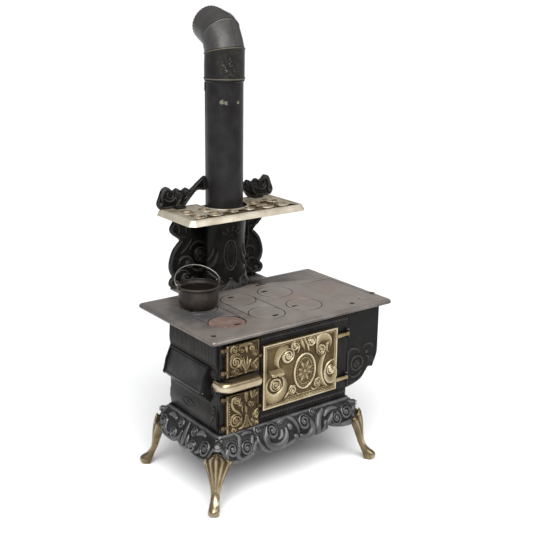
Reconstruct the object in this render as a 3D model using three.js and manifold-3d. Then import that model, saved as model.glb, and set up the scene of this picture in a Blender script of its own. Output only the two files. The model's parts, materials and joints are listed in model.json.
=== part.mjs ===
// A cast iron toy cooking range with its pipe, shelf and kettle, in millimetres.
// X runs to the right, Y to the back and Z up. While it is built, x = 0, y = 0 is the middle of
// the cooktop and z = 0 is the floor; the last lines move the origin under the middle of the whole.
import * as THREE from 'three';
import * as BufferGeometryUtils from 'three/addons/utils/BufferGeometryUtils.js';
import Module from 'manifold-3d';

const wasm = await Module();
wasm.setup();

// Sizes that many pieces share
const gap = 0.3;
const overrun = 2;
const sink = 0.6;
const weld = 1e-4;
const wall = 4;
const middle = -3;

const body = { left: -193.3, right: 110, front: -120.5, back: 50, bow: 4.6 };
const base = {
  top: 133, drop: 54, flare: 25, lip: 2, wall: 4.5, flange: 12, flangeThick: 4,
  bossRadius: 6.5, bossOut: 20.5, boltDrop: 13, tongueRoom: 1.4,
};
const leg = {
  height: 109, reach: 66.5, halfWidth: 25.5, tongueHalf: 8, tongueThick: 7, tongueRoot: 13,
  tongueTop: 8, fluteDeep: 1.6,
};
const bolt = { radius: 2, headRadius: 4.5, headThick: 2.6, nutRadius: 4, nutThick: 3 };

const cooktop = {
  length: 432, depth: 268.4, thick: 9.8, height: 322, corner: 12, nose: 4, tongueHalf: 104, tongueBack: 192,
};
const lid = {
  radius: 35.2, thick: 4, ledge: 3.5, lip: 3, horn: 12, slotLong: 13, slotWide: 4.5, slotAtShare: 0.6,
  sunk: 1.2,
};
const lidPlace = { left: -135, middle: -43.5, right: 48, front: -59, rear: 36 };
const lidColumns = [lidPlace.left, lidPlace.middle, lidPlace.right];
const lidRows = [lidPlace.front, lidPlace.rear];
const damper = {
  x: 52.6, y: 91.8, slotLong: 26, slotWide: 4, knobRadius: 4, knobTall: 5, bladeWide: 12, bladeDeep: 24,
  thick: 2,
};
const cover = {
  left: 124, right: 201, front: -95, back: 45, thick: 4, ledge: 6, notchLong: 13, notchDeep: 6,
};
const screw = { headRadius: 4.5, radius: 2.2, headThick: 2.5 };
const screwPlaces = { left: { x: -196, y: -106 }, middle: { x: 130, y: -108.4 }, right: { x: 208, y: -82 } };

// Levels up the body, as shares of the rise from the base to the cooktop's face
const levelShares = {
  ashBottom: 0.037, ashHingeLow: 0.0741, reservoirBottom: 0.0952, ovenBottom: 0.1534,
  ovenHingeLow: 0.2328, ashTop: 0.3651, ashHingeHigh: 0.3704, feedBottom: 0.4233, railBottom: 0.455,
  linerBottom: 0.4656, tankBottom: 0.545, railTop: 0.5556, fireBottom: 0.619, feedTop: 0.6349,
  fireHingeLow: 0.6455, ovenHingeHigh: 0.7196, ovenTop: 0.7989, fireHingeHigh: 0.873, fireTop: 0.8783,
  linerTop: 0.8836,
};

function bodyLevel(share) {
  return base.top + share * (cooktop.height - base.top);
}

const oven = {
  left: -97, right: 75, bottom: bodyLevel(levelShares.ovenBottom), top: bodyLevel(levelShares.ovenTop),
  flueRoom: 23.9, wall: 3,
  ledge: 5, ledgeThick: 3, ledgeHeight: 50,
  barRadius: 1.4, bars: 6,
};
const fire = {
  left: -176, right: -117, bottom: bodyLevel(levelShares.fireBottom), top: bodyLevel(levelShares.fireTop),
  linerWall: 5, linerBottom: bodyLevel(levelShares.linerBottom), linerTop: bodyLevel(levelShares.linerTop),
};
const ash = {
  left: -176, right: -117, bottom: bodyLevel(levelShares.ashBottom), top: bodyLevel(levelShares.ashTop),
  panTall: 26, panWall: 1.6, panSide: 2.5,
};
const grate = { thick: 4.5, bars: 8, barWide: 5, frame: 5, ledge: 4 };

const door = {
  thick: 5.2, border: 5, borderThick: 2.5, off: 0.3, corner: 3, relief: 2.6,
  lap: 4, smallLap: 7, smallRise: 6,
};
const hinge = {
  radius: 3.6, barrel: 7, knuckle: 4.5, pinRadius: 1.5, pinHeadRadius: 2.6, pinHeadThick: 1.4, out: 5,
  ovenLow: bodyLevel(levelShares.ovenHingeLow), ovenHigh: bodyLevel(levelShares.ovenHingeHigh),
  fireLow: bodyLevel(levelShares.fireHingeLow), fireHigh: bodyLevel(levelShares.fireHingeHigh),
  ashLow: bodyLevel(levelShares.ashHingeLow), ashHigh: bodyLevel(levelShares.ashHingeHigh),
};
const rail = {
  left: -206, right: -112, bottom: bodyLevel(levelShares.railBottom), top: bodyLevel(levelShares.railTop),
  out: 22.5, wrap: 13, round: 16, edge: 5,
};

const feed = {
  front: -86, back: 39, top: bodyLevel(levelShares.feedTop), bottom: bodyLevel(levelShares.feedBottom),
  topOut: 4.5, bottomOut: 18, thick: 3, cheek: 4, barrelRadius: 3, pinRadius: 1.4,
};

const reservoir = {
  right: 192, bottom: bodyLevel(levelShares.reservoirBottom), tankWall: 1.4,
  tankBottom: bodyLevel(levelShares.tankBottom), tankFlange: 2.6,
};
const pipe = { y: 144, radius: 38, wall: 1.4, top: 752, bead: 2, beadAt: 743 };
const flue = { half: 40, rise: 72 };
const casing = { halfWidth: 50, front: 110, back: 178, top: 464, wall: 4 };
const splat = {
  front: 170.4, thick: 4.8, halfWidth: 118, lug: 14, lugThick: 4, lugAt: 84, bracketAt: 86,
  bracketDeep: 96, bracketTall: 34, bracketThick: 4,
};
const shelf = {
  left: -137, right: 131, front: 54, top: 491.5, thick: 4, skirt: 12, flare: 7, corner: 12, notch: 46,
};
const crest = { halfWidth: 143, tall: 57, thick: 4.4, footDeep: 16, footHalf: 11, footAt: 96, strap: 4 };
const elbow = {
  slip: 0.7, sleeveTop: 800, midReach: 36, endReach: 48, midTilt: 25, endTilt: 68,
  seamTilt: 12, bend: 46, bead: 1.2, crimps: 13, crimpDeep: 1.1, endShrink: 4.5,
};
const kettle = { x: -130, y: 46, radius: 41, height: 45, wall: 2.6, turn: -8 };
const bail = {
  radius: 1.1, halfWidth: 46.5, rise: 46, lean: 58, earThick: 3.4, earHalf: 4.6, earUp: 4.2, hole: 1.6,
};

// Levels and edges worked out from those sizes
const deckUnder = cooktop.height - cooktop.thick;
const wallTop = deckUnder - gap;
const wallFoot = base.top + gap;
const floorTop = wallFoot + wall;
const inner = {
  left: body.left + wall + gap, right: body.right - wall - gap,
  front: body.front + wall + gap, back: body.back - wall - gap,
};
const shelfUnder = shelf.top - shelf.thick;
const shelfBack = splat.front + splat.thick;
const pipeFoot = casing.top + wall;
const boltLevel = base.top - base.boltDrop;

// Helpers that turn three.js geometry into solids
function solid(geometry) {
  const plain = geometry.clone();
  plain.deleteAttribute('normal');
  if (plain.getAttribute('uv')) plain.deleteAttribute('uv');
  const merged = BufferGeometryUtils.mergeVertices(plain, weld);
  const corners = Float32Array.from(merged.attributes.position.array);
  const faces = [];
  const index = merged.index.array;
  let volume = 0;
  const [a, b, c] = [new THREE.Vector3(), new THREE.Vector3(), new THREE.Vector3()];
  for (let i = 0; i < index.length; i += 3) {
    const [p, q, r] = [index[i], index[i + 1], index[i + 2]];
    if (p === q || q === r || r === p) continue;
    a.fromArray(corners, 3 * p);
    b.fromArray(corners, 3 * q);
    c.fromArray(corners, 3 * r);
    volume += a.dot(b.cross(c));
    faces.push(p, q, r);
  }
  if (volume < 0) faces.reverse();
  const triVerts = Uint32Array.from(faces);
  return new wasm.Manifold(new wasm.Mesh({ numProp: 3, vertProperties: corners, triVerts }));
}

function joined(...pieces) {
  return pieces.flat().reduce((whole, piece) => whole.add(piece));
}

function without(whole, ...cuts) {
  return cuts.flat().reduce((rest, cut) => rest.subtract(cut), whole);
}

function box(x0, x1, y0, y1, z0, z1) {
  const geometry = new THREE.BoxGeometry(x1 - x0, y1 - y0, z1 - z0);
  return solid(geometry.translate((x0 + x1) / 2, (y0 + y1) / 2, (z0 + z1) / 2));
}

function polygon(points) {
  return new THREE.Shape(points.map(([x, y]) => new THREE.Vector2(x, y)));
}

function roundedRectangle(x0, x1, y0, y1, radius) {
  const shape = new THREE.Shape();
  shape.absarc(x1 - radius, y0 + radius, radius, -Math.PI / 2, 0);
  shape.absarc(x1 - radius, y1 - radius, radius, 0, Math.PI / 2);
  shape.absarc(x0 + radius, y1 - radius, radius, Math.PI / 2, Math.PI);
  shape.absarc(x0 + radius, y0 + radius, radius, Math.PI, Math.PI * 1.5);
  return shape;
}

function ellipse(x, y, rx, ry) {
  const shape = new THREE.Shape();
  shape.absellipse(x, y, rx, ry, 0, Math.PI * 2);
  return shape;
}

// Outlines in X and Y, thickened along Z
function slab(shape, z0, z1, facets = 4) {
  const geometry = new THREE.ExtrudeGeometry(shape, {
    depth: z1 - z0, bevelEnabled: false, curveSegments: facets,
  });
  return solid(geometry.translate(0, 0, z0));
}

// Outlines in X and Z, thickened along Y
function panel(shape, y0, y1, facets = 4) {
  const geometry = new THREE.ExtrudeGeometry(shape, {
    depth: y1 - y0, bevelEnabled: false, curveSegments: facets,
  });
  return solid(geometry.rotateX(Math.PI / 2).translate(0, y1, 0));
}

// Outlines in Y and Z, thickened along X
function sidePanel(shape, x0, x1, facets = 4) {
  const geometry = new THREE.ExtrudeGeometry(shape, {
    depth: x1 - x0, bevelEnabled: false, curveSegments: facets,
  });
  const turn = new THREE.Matrix4().makeBasis(
    new THREE.Vector3(0, 1, 0), new THREE.Vector3(0, 0, 1), new THREE.Vector3(1, 0, 0));
  return solid(geometry.applyMatrix4(turn).translate(x0, 0, 0));
}

function disc(x, y, radius, z0, z1, facets = 18, topRadius = radius) {
  const geometry = new THREE.CylinderGeometry(topRadius, radius, z1 - z0, facets);
  return solid(geometry.rotateX(Math.PI / 2).translate(x, y, (z0 + z1) / 2));
}

// A round bar between two points
function rod(from, to, radius, facets = 8) {
  const [a, b] = [new THREE.Vector3(...from), new THREE.Vector3(...to)];
  const along = b.clone().sub(a);
  const geometry = new THREE.CylinderGeometry(radius, radius, along.length(), facets);
  const direction = along.clone().normalize();
  const turn = new THREE.Quaternion().setFromUnitVectors(new THREE.Vector3(0, 1, 0), direction);
  geometry.applyQuaternion(turn);
  const centre = a.add(b).multiplyScalar(0.5);
  return solid(geometry.translate(centre.x, centre.y, centre.z));
}

// A turned piece about a vertical line through x, y, from a profile of [radius, height] pairs
function turned(profile, x, y, facets = 20) {
  const geometry = new THREE.LatheGeometry(profile.map(([r, h]) => new THREE.Vector2(r, h)), facets);
  return solid(geometry.rotateX(Math.PI / 2).translate(x, y, 0));
}

// A skin over rings of points with the same count; the ends are capped, or the rings join up
function loft(rings, loop = false) {
  const count = rings[0].length;
  const points = rings.flat();
  const faces = [];
  const last = loop ? rings.length : rings.length - 1;
  for (let i = 0; i < last; i += 1) {
    const next = (i + 1) % rings.length;
    for (let j = 0; j < count; j += 1) {
      const k = (j + 1) % count;
      const [a, b, c, d] = [i * count + j, i * count + k, next * count + k, next * count + j];
      faces.push(a, b, c, a, c, d);
    }
  }
  if (!loop) {
    for (const [start, flip] of [[0, true], [(rings.length - 1) * count, false]]) {
      const centre = new THREE.Vector3();
      for (let j = 0; j < count; j += 1) centre.add(points[start + j]);
      points.push(centre.divideScalar(count));
      for (let j = 0; j < count; j += 1) {
        const pair = [start + j, start + (j + 1) % count];
        if (flip) pair.reverse();
        faces.push(...pair, points.length - 1);
      }
    }
  }
  const geometry = new THREE.BufferGeometry().setFromPoints(points);
  geometry.setIndex(faces);
  return solid(geometry);
}

function stadium(x, y, long, wide) {
  return roundedRectangle(x - long / 2, x + long / 2, y - wide / 2, y + wide / 2, wide / 2);
}

// Moves each corner of an outline inwards by the same distance
function inset(points, distance) {
  return points.map(([x, y], i) => {
    const [px, py] = points[(i + points.length - 1) % points.length];
    const [nx, ny] = points[(i + 1) % points.length];
    const before = new THREE.Vector2(x - px, y - py).normalize();
    const after = new THREE.Vector2(nx - x, ny - y).normalize();
    const bisector = new THREE.Vector2(-before.y - after.y, before.x + after.x).normalize();
    const reach = distance / Math.max(bisector.dot(new THREE.Vector2(-before.y, before.x)), 0.35);
    return [x + bisector.x * reach, y + bisector.y * reach];
  });
}

// A raised scroll on a face that looks to the front: a ridge along a spiral in X and Z
function scroll(face, x, z, spec) {
  const { r0, r1, a0, a1, w0, w1, h = door.relief } = spec;
  const steps = Math.max(4, Math.ceil(Math.abs(a1 - a0) / 60));
  const rings = [];
  for (let i = 0; i <= steps; i += 1) {
    const t = i / steps;
    const angle = THREE.MathUtils.degToRad(a0 + (a1 - a0) * t);
    const radius = r0 + (r1 - r0) * t;
    const half = (w0 + (w1 - w0) * t) / 2;
    const at = (r, y) => new THREE.Vector3(x + r * Math.cos(angle), y, z + r * Math.sin(angle));
    rings.push([
      at(radius + half, face + sink), at(radius + half / 2, face - h),
      at(radius - half / 2, face - h), at(radius - half, face + sink),
    ]);
  }
  return loft(rings);
}

const stove = new THREE.Group();

function finish(name, piece, look) {
  const raw = piece.getMesh();
  const geometry = new THREE.BufferGeometry();
  geometry.setAttribute('position', new THREE.BufferAttribute(Float32Array.from(raw.vertProperties), 3));
  geometry.setIndex(new THREE.BufferAttribute(Uint32Array.from(raw.triVerts), 1));
  const material = new THREE.MeshStandardMaterial({ ...look, flatShading: true });
  const mesh = new THREE.Mesh(geometry, material);
  mesh.name = name;
  stove.add(mesh);
}

// Finishes
const blackIron = { color: 0x26262a, roughness: 0.55, metalness: 0.6 };
const deckIron = { color: 0x5c5650, roughness: 0.5, metalness: 0.6 };
const rustyIron = { color: 0x7a4a3a, roughness: 0.75, metalness: 0.35 };
const warmNickel = { color: 0xb09a68, roughness: 0.38, metalness: 0.85 };
const paleNickel = { color: 0xcfc6ae, roughness: 0.4, metalness: 0.75 };
const pipeSteel = { color: 0x2e2d2f, roughness: 0.5, metalness: 0.5 };
const elbowSteel = { color: 0x4a4a48, roughness: 0.5, metalness: 0.6 };
const darkIron = { color: 0x2b221d, roughness: 0.7, metalness: 0.4 };
const brightSteel = { color: 0xa09a8c, roughness: 0.4, metalness: 0.9 };
const sheetSteel = { color: 0x55524e, roughness: 0.6, metalness: 0.6 };

// The scalloped base: its skirt slopes out from the body and its lower edge runs in lobes
function skirtOut(t) {
  return base.lip + base.flare * (1 - (1 - Math.min(t, 1)) ** 1.5);
}

function skirtLevel(t) {
  return base.top - base.drop * t;
}

const frontLobeShares = [
  [0, 0.98], [0.03, 0.94], [0.05, 0.84], [0.1, 0.93], [0.15, 0.97], [0.2, 0.88], [0.238, 0.58],
  [0.275, 0.88], [0.34, 0.98], [0.39, 0.9], [0.44, 0.56], [0.5, 0.42],
];
const sideLobeShares = [
  [0, 0.98], [0.05, 0.94], [0.085, 0.8], [0.14, 0.96], [0.24, 1], [0.34, 0.93], [0.4, 0.76], [0.46, 0.47],
  [0.5, 0.42],
];

function baseSide(corner, along, outward, length, lobes) {
  const leftSide = lobes.slice(1).reverse().map(([u, e]) => [0.5 - u, e]);
  const both = [...leftSide, ...lobes.map(([u, e]) => [0.5 + u, e])];
  return both.slice(0, -1).map(([share, depth]) => {
    const at = (out, level) => new THREE.Vector3(
      corner[0] + along[0] * (share * (length + 2 * out) - out) + outward[0] * out,
      corner[1] + along[1] * (share * (length + 2 * out) - out) + outward[1] * out, level);
    const slope = [0, depth * 0.45, depth];
    return [
      ...slope.map((t) => at(skirtOut(t), skirtLevel(t))),
      at(skirtOut(depth) - base.wall, skirtLevel(depth)),
      at(skirtOut(base.flangeThick / base.drop) - base.wall, base.top - base.flangeThick),
      at(-base.flange, base.top - base.flangeThick), at(-base.flange, base.top),
    ];
  });
}

const corners = [
  { name: 'leg_front_left', x: body.left, y: body.front, out: [-1, -1] },
  { name: 'leg_front_right', x: body.right, y: body.front, out: [1, -1] },
  { name: 'leg_back_left', x: body.left, y: body.back, out: [-1, 1] },
  { name: 'leg_back_right', x: body.right, y: body.back, out: [1, 1] },
];

// A point at a corner of the body: out along the diagonal, across it, and up
function cornerPoint(corner, out, across, level) {
  const [dx, dy] = corner.out.map((side) => side / Math.SQRT2);
  const hand = corner.out[0] * corner.out[1];
  return new THREE.Vector3(
    corner.x + dx * out - dy * across * hand, corner.y + dy * out + dx * across * hand, level);
}

function cornerInside(level) {
  return Math.SQRT2 * (skirtOut((base.top - level) / base.drop) - base.wall - base.tongueRoom);
}

// A cabriole leg: level, inner and outer reach, half width and how far its sides wrap round the
// corner, as shares of the leg's height, reach, half width and reach
const legShares = [
  [0, 0.7, 0.86, 0.35, 0], [0.02, 0.66, 0.97, 0.4, 0], [0.08, 0.62, 1, 0.4, 0], [0.13, 0.6, 0.95, 0.36, 0],
  [0.2, 0.545, 0.79, 0.335, 0], [0.31, 0.465, 0.665, 0.345, 0], [0.44, 0.395, 0.61, 0.42, 0],
  [0.6, 0.34, 0.59, 0.62, 0.045], [0.76, 0.295, 0.57, 0.88, 0.11], [0.9, 0.3, 0.52, 1, 0.18],
  [0.95, 0.32, 0.49, 0.78, 0.16], [1, 0.35, 0.45, 0.2, 0.02],
];
const legRingShares = [-1, -0.7, -0.35, 0, 0.35, 0.7, 1];
const legFormShares = { smooth: 0.6, round: 0.75, edge: 0.4 };

function legSolid(corner, grow) {
  const rings = legShares.map(([level, from, to, width, wrap], i) => {
    const half = width * leg.halfWidth + grow;
    const fluted = Math.max(0, level - legFormShares.smooth) / (1 - legFormShares.smooth)
      * (i < legShares.length - 1 ? 1 : 0);
    const height = level * leg.height + (i === legShares.length - 1 ? grow : 0);
    const outer = legRingShares.map((s, j) => {
      const round = Math.sqrt(1 - legFormShares.round * s * s);
      const valley = j % 2 === 1 ? leg.fluteDeep * fluted : 0;
      const thick = (to - from) * leg.reach;
      const face = from * leg.reach + thick * (legFormShares.edge + (1 - legFormShares.edge) * round);
      return cornerPoint(corner, face - wrap * leg.reach * s * s + grow - valley, s * half, height);
    });
    const back = [0.7, -0.7].map((s) => cornerPoint(
      corner, from * leg.reach - wrap * leg.reach * s * s - grow, s * half, height));
    return [...outer, ...back];
  });
  return loft(rings);
}

function legTongue(corner) {
  const foot = Math.min(leg.height, boltLevel - base.bossRadius) - leg.tongueRoot;
  const levels = [base.top - leg.tongueTop, boltLevel - bolt.headRadius - gap, foot];
  return loft(levels.map((level, i) => {
    const reach = cornerInside(level);
    const back = (i < 2 ? cornerInside(boltLevel) : reach) - leg.tongueHalf - leg.tongueThick;
    return [
      cornerPoint(corner, reach - leg.tongueHalf, -leg.tongueHalf, level),
      cornerPoint(corner, reach, 0, level),
      cornerPoint(corner, reach - leg.tongueHalf, leg.tongueHalf, level),
      cornerPoint(corner, back, leg.tongueHalf, level), cornerPoint(corner, back, -leg.tongueHalf, level),
    ];
  }));
}

function baseAndLegs() {
  const wide = body.right - body.left;
  const deep = body.back - body.front;
  const ring = [
    ...baseSide([body.left, body.front], [1, 0], [0, -1], wide, frontLobeShares),
    ...baseSide([body.right, body.front], [0, 1], [1, 0], deep, sideLobeShares),
    ...baseSide([body.right, body.back], [-1, 0], [0, 1], wide, frontLobeShares),
    ...baseSide([body.left, body.back], [0, -1], [-1, 0], deep, sideLobeShares),
  ];
  let apron = loft(ring, true);
  for (const corner of corners) {
    const along = (out) => cornerPoint(corner, out, 0, boltLevel).toArray();
    const inside = cornerInside(boltLevel);
    const nutFace = inside - leg.tongueHalf - leg.tongueThick - gap;
    const hole = rod(along(nutFace - overrun), along(base.bossOut + overrun), bolt.radius + gap, 6);
    const bossStart = cornerInside(boltLevel - base.bossRadius) + base.tongueRoom;
    const boss = rod(along(bossStart), along(base.bossOut), base.bossRadius);
    const headRoom = rod(along(base.bossOut), along(leg.reach), bolt.headRadius + gap);
    const legWhole = joined(legSolid(corner, 0), legTongue(corner));
    apron = without(joined(apron, boss), legSolid(corner, gap), hole);
    finish(corner.name, without(legWhole, hole, headRoom), warmNickel);
    finish(`${corner.name}_bolt`, joined(
      rod(along(nutFace - bolt.nutThick - sink), along(base.bossOut + gap + sink), bolt.radius, 6),
      rod(along(base.bossOut + gap), along(base.bossOut + gap + bolt.headThick), bolt.headRadius),
      rod(along(nutFace - bolt.nutThick), along(nutFace), bolt.nutRadius, 6)), brightSteel);
  }
  finish('base_apron', apron, blackIron);
}

// The body's panels
function hingeBarrels(spec, z) {
  const half = hinge.barrel / 2;
  const face = body.front - hinge.out;
  const arm = spec.hand < 0
    ? box(spec.axis, spec.edge + sink, face - hinge.radius, face, z - half, z + half)
    : box(spec.edge - sink, spec.axis, face - hinge.radius, face, z - half, z + half);
  const barrel = disc(spec.axis, face, hinge.radius, z - half, z + half, 8);
  if (!spec.pintles) return joined(arm, barrel);
  const reach = half + gap + hinge.knuckle;
  return joined(arm, barrel, disc(spec.axis, face, hinge.pinRadius, z - reach, z, 6));
}

function hingeKnuckles(spec, z) {
  const face = body.front - hinge.out;
  return (spec.pintles ? [-1] : [1, -1]).map((side) => {
    const near = z + side * (hinge.barrel / 2 + gap);
    const far = near + side * hinge.knuckle;
    const [low, high] = side > 0 ? [near, far] : [far, near];
    return joined(
      disc(spec.axis, face, hinge.radius, low, high, 8),
      box(spec.axis - hinge.radius, spec.axis + hinge.radius, face, body.front + sink, low, high));
  });
}

function hingePin(spec, z) {
  const reach = hinge.barrel / 2 + gap + hinge.knuckle;
  const face = body.front - hinge.out;
  return joined(
    disc(spec.axis, face, hinge.pinRadius, z - reach, z + reach + gap + sink, 6),
    disc(spec.axis, face, hinge.pinHeadRadius, z + reach + gap, z + reach + gap + hinge.pinHeadThick, 8));
}

function hingeBores(spec) {
  const face = body.front - hinge.out;
  return spec.levels.map((z) => {
    const reach = hinge.barrel / 2 + gap + hinge.knuckle + overrun;
    return disc(spec.axis, face, hinge.pinRadius + gap, z - reach, z + reach, 6);
  });
}

const ovenDoor = {
  left: oven.left - door.lap, right: oven.right + door.lap,
  bottom: oven.bottom - door.lap, top: oven.top + door.lap,
  edge: oven.right + door.lap, axis: body.right - hinge.radius, hand: 1,
  levels: [hinge.ovenLow, hinge.ovenHigh],
};

function smallDoorSpec(mouth, levels) {
  return {
    left: mouth.left - door.smallLap, right: mouth.right + door.smallLap,
    bottom: mouth.bottom - door.smallRise, top: mouth.top + door.smallRise,
    edge: mouth.left - door.smallLap, axis: body.left + hinge.radius, hand: -1,
    levels, pintles: true,
  };
}

const fireDoor = smallDoorSpec(fire, [hinge.fireLow, hinge.fireHigh]);
const ashDoor = smallDoorSpec(ash, [hinge.ashLow, hinge.ashHigh]);
const doors = [ovenDoor, fireDoor, ashDoor];

function frontPanel() {
  const whole = box(body.left, body.right, body.front, body.front + wall, wallFoot, wallTop);
  const mouths = [
    [oven.left + oven.wall, oven.right - oven.wall, oven.bottom + oven.wall, oven.top - oven.wall],
    [fire.left, fire.right, fire.bottom, fire.top],
    [ash.left, ash.right, ash.bottom, ash.top],
  ].map(([x0, x1, z0, z1]) => box(x0, x1, body.front - overrun, body.front + wall + overrun, z0, z1));
  const knuckles = doors.map((spec) => spec.levels.map((z) => hingeKnuckles(spec, z))).flat(2);
  const plate = joined(without(whole, mouths), knuckles);
  finish('front_panel', without(plate, doors.map(hingeBores).flat()), blackIron);
}

// The left end: a bowed panel with the hopper mouth that the feed door closes
const endBowShares = [
  [0.92, 0.35], [0.8, 0.6], [0.68, 0.2], [0.6, 0.1], [0.5, 0.05], [0.36, -0.05], [0.26, 0.15], [0.19, 0.9],
  [0.11, 1], [0.03, 0.3],
];
const hopperFloorShares = [[0, 0], [0.3, -0.12], [0.75, -0.32], [1, -0.5]];
const feedShares = { axis: -0.09, mouth: 1.02, pit: -0.6, leafTop: 0.99, leafFoot: -0.06 };

function feedLine(out, t) {
  const run = [feed.bottomOut - feed.topOut, feed.top - feed.bottom];
  const length = Math.hypot(...run);
  return [
    body.left - feed.bottomOut + run[0] * t - out * run[1] / length,
    feed.bottom + run[1] * t + out * run[0] / length,
  ];
}

const feedAxis = feedLine(-feed.barrelRadius / 2, feedShares.axis);

function endPanelLeft() {
  const height = wallTop - wallFoot;
  const bow = endBowShares.map(([up, out]) => [body.left - out * body.bow, wallFoot + up * height]);
  const skin = [[body.left, wallTop], ...bow, [body.left, wallFoot]];
  const back = [[body.left + wall, wallFoot], [body.left + wall, wallTop]];
  const plate = panel(polygon([...skin, ...back]), inner.front, inner.back);
  const cheekFront = feed.front - gap - feed.cheek;
  const cheekBack = feed.back + gap + feed.cheek;
  const drop = feed.top - feed.bottom;
  const floorOut = hopperFloorShares.map(([inShare, downShare]) => [
    body.left - feed.bottomOut * (1 - inShare), feedAxis[1] - feed.cheek + downShare * drop]);
  const outline = [
    [body.left + sink, feed.top + feed.cheek * 2], [body.left - feed.topOut, feed.top + feed.cheek * 1.5],
    feedLine(feed.cheek / 2, 1), feedLine(feed.cheek, 0.5), feedLine(feed.cheek / 2, 0),
    [feedAxis[0] - feed.cheek, feedAxis[1]], [feedAxis[0] - feed.cheek / 2, feedAxis[1] - feed.cheek],
    ...floorOut,
    [body.left + sink, floorOut.at(-1)[1]],
  ];
  const pouch = panel(polygon(outline), cheekFront, cheekBack);
  const hopperFloor = floorOut.map(([x, z]) => [x + feed.cheek, z + feed.cheek]);
  const hollow = panel(polygon([
    [body.left + wall + overrun, feed.top], feedLine(-feed.thick - gap, feedShares.mouth),
    feedLine(feed.cheek * 2, feedShares.mouth), feedLine(feed.cheek * 4, feedShares.pit),
    [feedAxis[0] + feed.barrelRadius + gap, feedAxis[1] - feed.barrelRadius - feed.cheek],
    ...hopperFloor.slice(1), [body.left + wall + overrun, hopperFloor.at(-1)[1]],
  ]), feed.front - gap, feed.back + gap);
  const bore = rod(
    [feedAxis[0], cheekFront - overrun, feedAxis[1]], [feedAxis[0], cheekBack + overrun, feedAxis[1]],
    feed.pinRadius + gap);
  finish('end_panel_left', without(joined(plate, pouch), hollow, bore), blackIron);

  const leaf = panel(polygon([
    feedLine(0, feedShares.leafTop), feedLine(0, feedShares.leafFoot),
    feedLine(-feed.thick, feedShares.leafFoot), feedLine(-feed.thick, feedShares.leafTop),
  ]), feed.front + gap, feed.back - gap);
  const barrel = rod(
    [feedAxis[0], feed.front + gap, feedAxis[1]], [feedAxis[0], feed.back - gap, feedAxis[1]],
    feed.barrelRadius, 12);
  finish('feed_door', without(joined(leaf, barrel), bore), blackIron);
  finish('feed_door_pin', rod(
    [feedAxis[0], cheekFront - feed.pinRadius, feedAxis[1]],
    [feedAxis[0], cheekBack + feed.pinRadius, feedAxis[1]],
    feed.pinRadius), brightSteel);
}

function plainPanels() {
  const floor = box(inner.left, inner.right, inner.front, inner.back, wallFoot, floorTop);
  finish('bottom_plate', floor, blackIron);
  finish('end_panel_right', box(
    body.right - wall, body.right, inner.front, inner.back, wallFoot, wallTop), blackIron);
  const flueMouth = box(
    middle - flue.half + wall, middle + flue.half - wall, body.back - wall - overrun,
    body.back + overrun, oven.bottom + flue.rise + wall, wallTop - wall);
  const back = box(body.left, body.right, body.back - wall, body.back, wallFoot, wallTop);
  finish('back_panel', without(back, flueMouth), blackIron);
}

// The duct behind the body, from the back panel's mouth up to the hole in the cooktop's tongue
function flueBox() {
  const side = (grow) => polygon([
    [body.back + gap - (grow ? overrun : 0), oven.bottom + flue.rise + grow],
    [casing.front + casing.wall, oven.bottom + flue.rise + grow],
    [casing.back + wall - grow, deckUnder - (casing.back - casing.front) / 2 + grow],
    [casing.back + wall - grow, wallTop + (grow ? overrun : 0)],
    [body.back + gap - (grow ? overrun : 0), wallTop + (grow ? overrun : 0)],
  ]);
  const half = flue.half;
  const duct = sidePanel(side(0), middle - half, middle + half);
  const hollow = sidePanel(side(wall), middle - half + wall, middle + half - wall);
  finish('flue_box', without(duct, hollow), blackIron);
}

// The doors' scrollwork, in shares of the door's width and height from its middle
const ovenScrollShares = [
  { x: -0.33, z: -0.2, r0: 0.13, r1: 0.02, a0: 170, a1: 660, w0: 0.04, w1: 0.014 },
  { x: -0.17, z: 0.2, r0: 0.13, r1: 0.02, a0: 240, a1: -190, w0: 0.035, w1: 0.014 },
  { x: 0.3, z: 0.3, r0: 0.1, r1: 0.02, a0: 150, a1: -200, w0: 0.03, w1: 0.014 },
  { x: 0.4, z: -0.12, r0: 0.13, r1: 0.02, a0: 120, a1: 540, w0: 0.035, w1: 0.014 },
];
const smallScrollShares = [
  { x: -0.14, z: -0.18, r0: 0.22, r1: 0.05, a0: 80, a1: 440, w0: 0.08, w1: 0.04 },
  { x: 0.16, z: 0.24, r0: 0.18, r1: 0.05, a0: -100, a1: 200, w0: 0.08, w1: 0.04 },
];

function doorPlate(spec, scrolls) {
  const back = body.front - door.off;
  const face = back - door.thick;
  const outline = roundedRectangle(spec.left, spec.right, spec.bottom, spec.top, door.corner);
  const leaf = panel(outline, face, back, 2);
  const frame = panel(outline, face - door.borderThick, face + sink, 2);
  const field = box(spec.left + door.border, spec.right - door.border, face - door.borderThick - overrun,
    face + sink + overrun, spec.bottom + door.border, spec.top - door.border);
  const wide = spec.right - spec.left;
  const tall = spec.top - spec.bottom;
  const [cx, cz] = [(spec.left + spec.right) / 2, (spec.bottom + spec.top) / 2];
  const relief = scrolls.map((s) => scroll(face, cx + s.x * wide, cz + s.z * tall, {
    ...s, r0: s.r0 * wide, r1: s.r1 * wide, w0: s.w0 * wide, w1: s.w1 * wide,
  }));
  const barrels = spec.levels.map((z) => hingeBarrels(spec, z));
  return { piece: joined(leaf, frame.subtract(field), relief, barrels), face, cx, cz, wide, tall };
}

const medallionShares = { x: 0.03, z: -0.06, rx: 0.145, rz: 0.285, rim: 0.022, boss: 0.04, petals: 6 };
const lipShares = { x: -0.333, z: 0.035, half: 0.075, deep: 0.075, thick: 0.035 };

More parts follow.
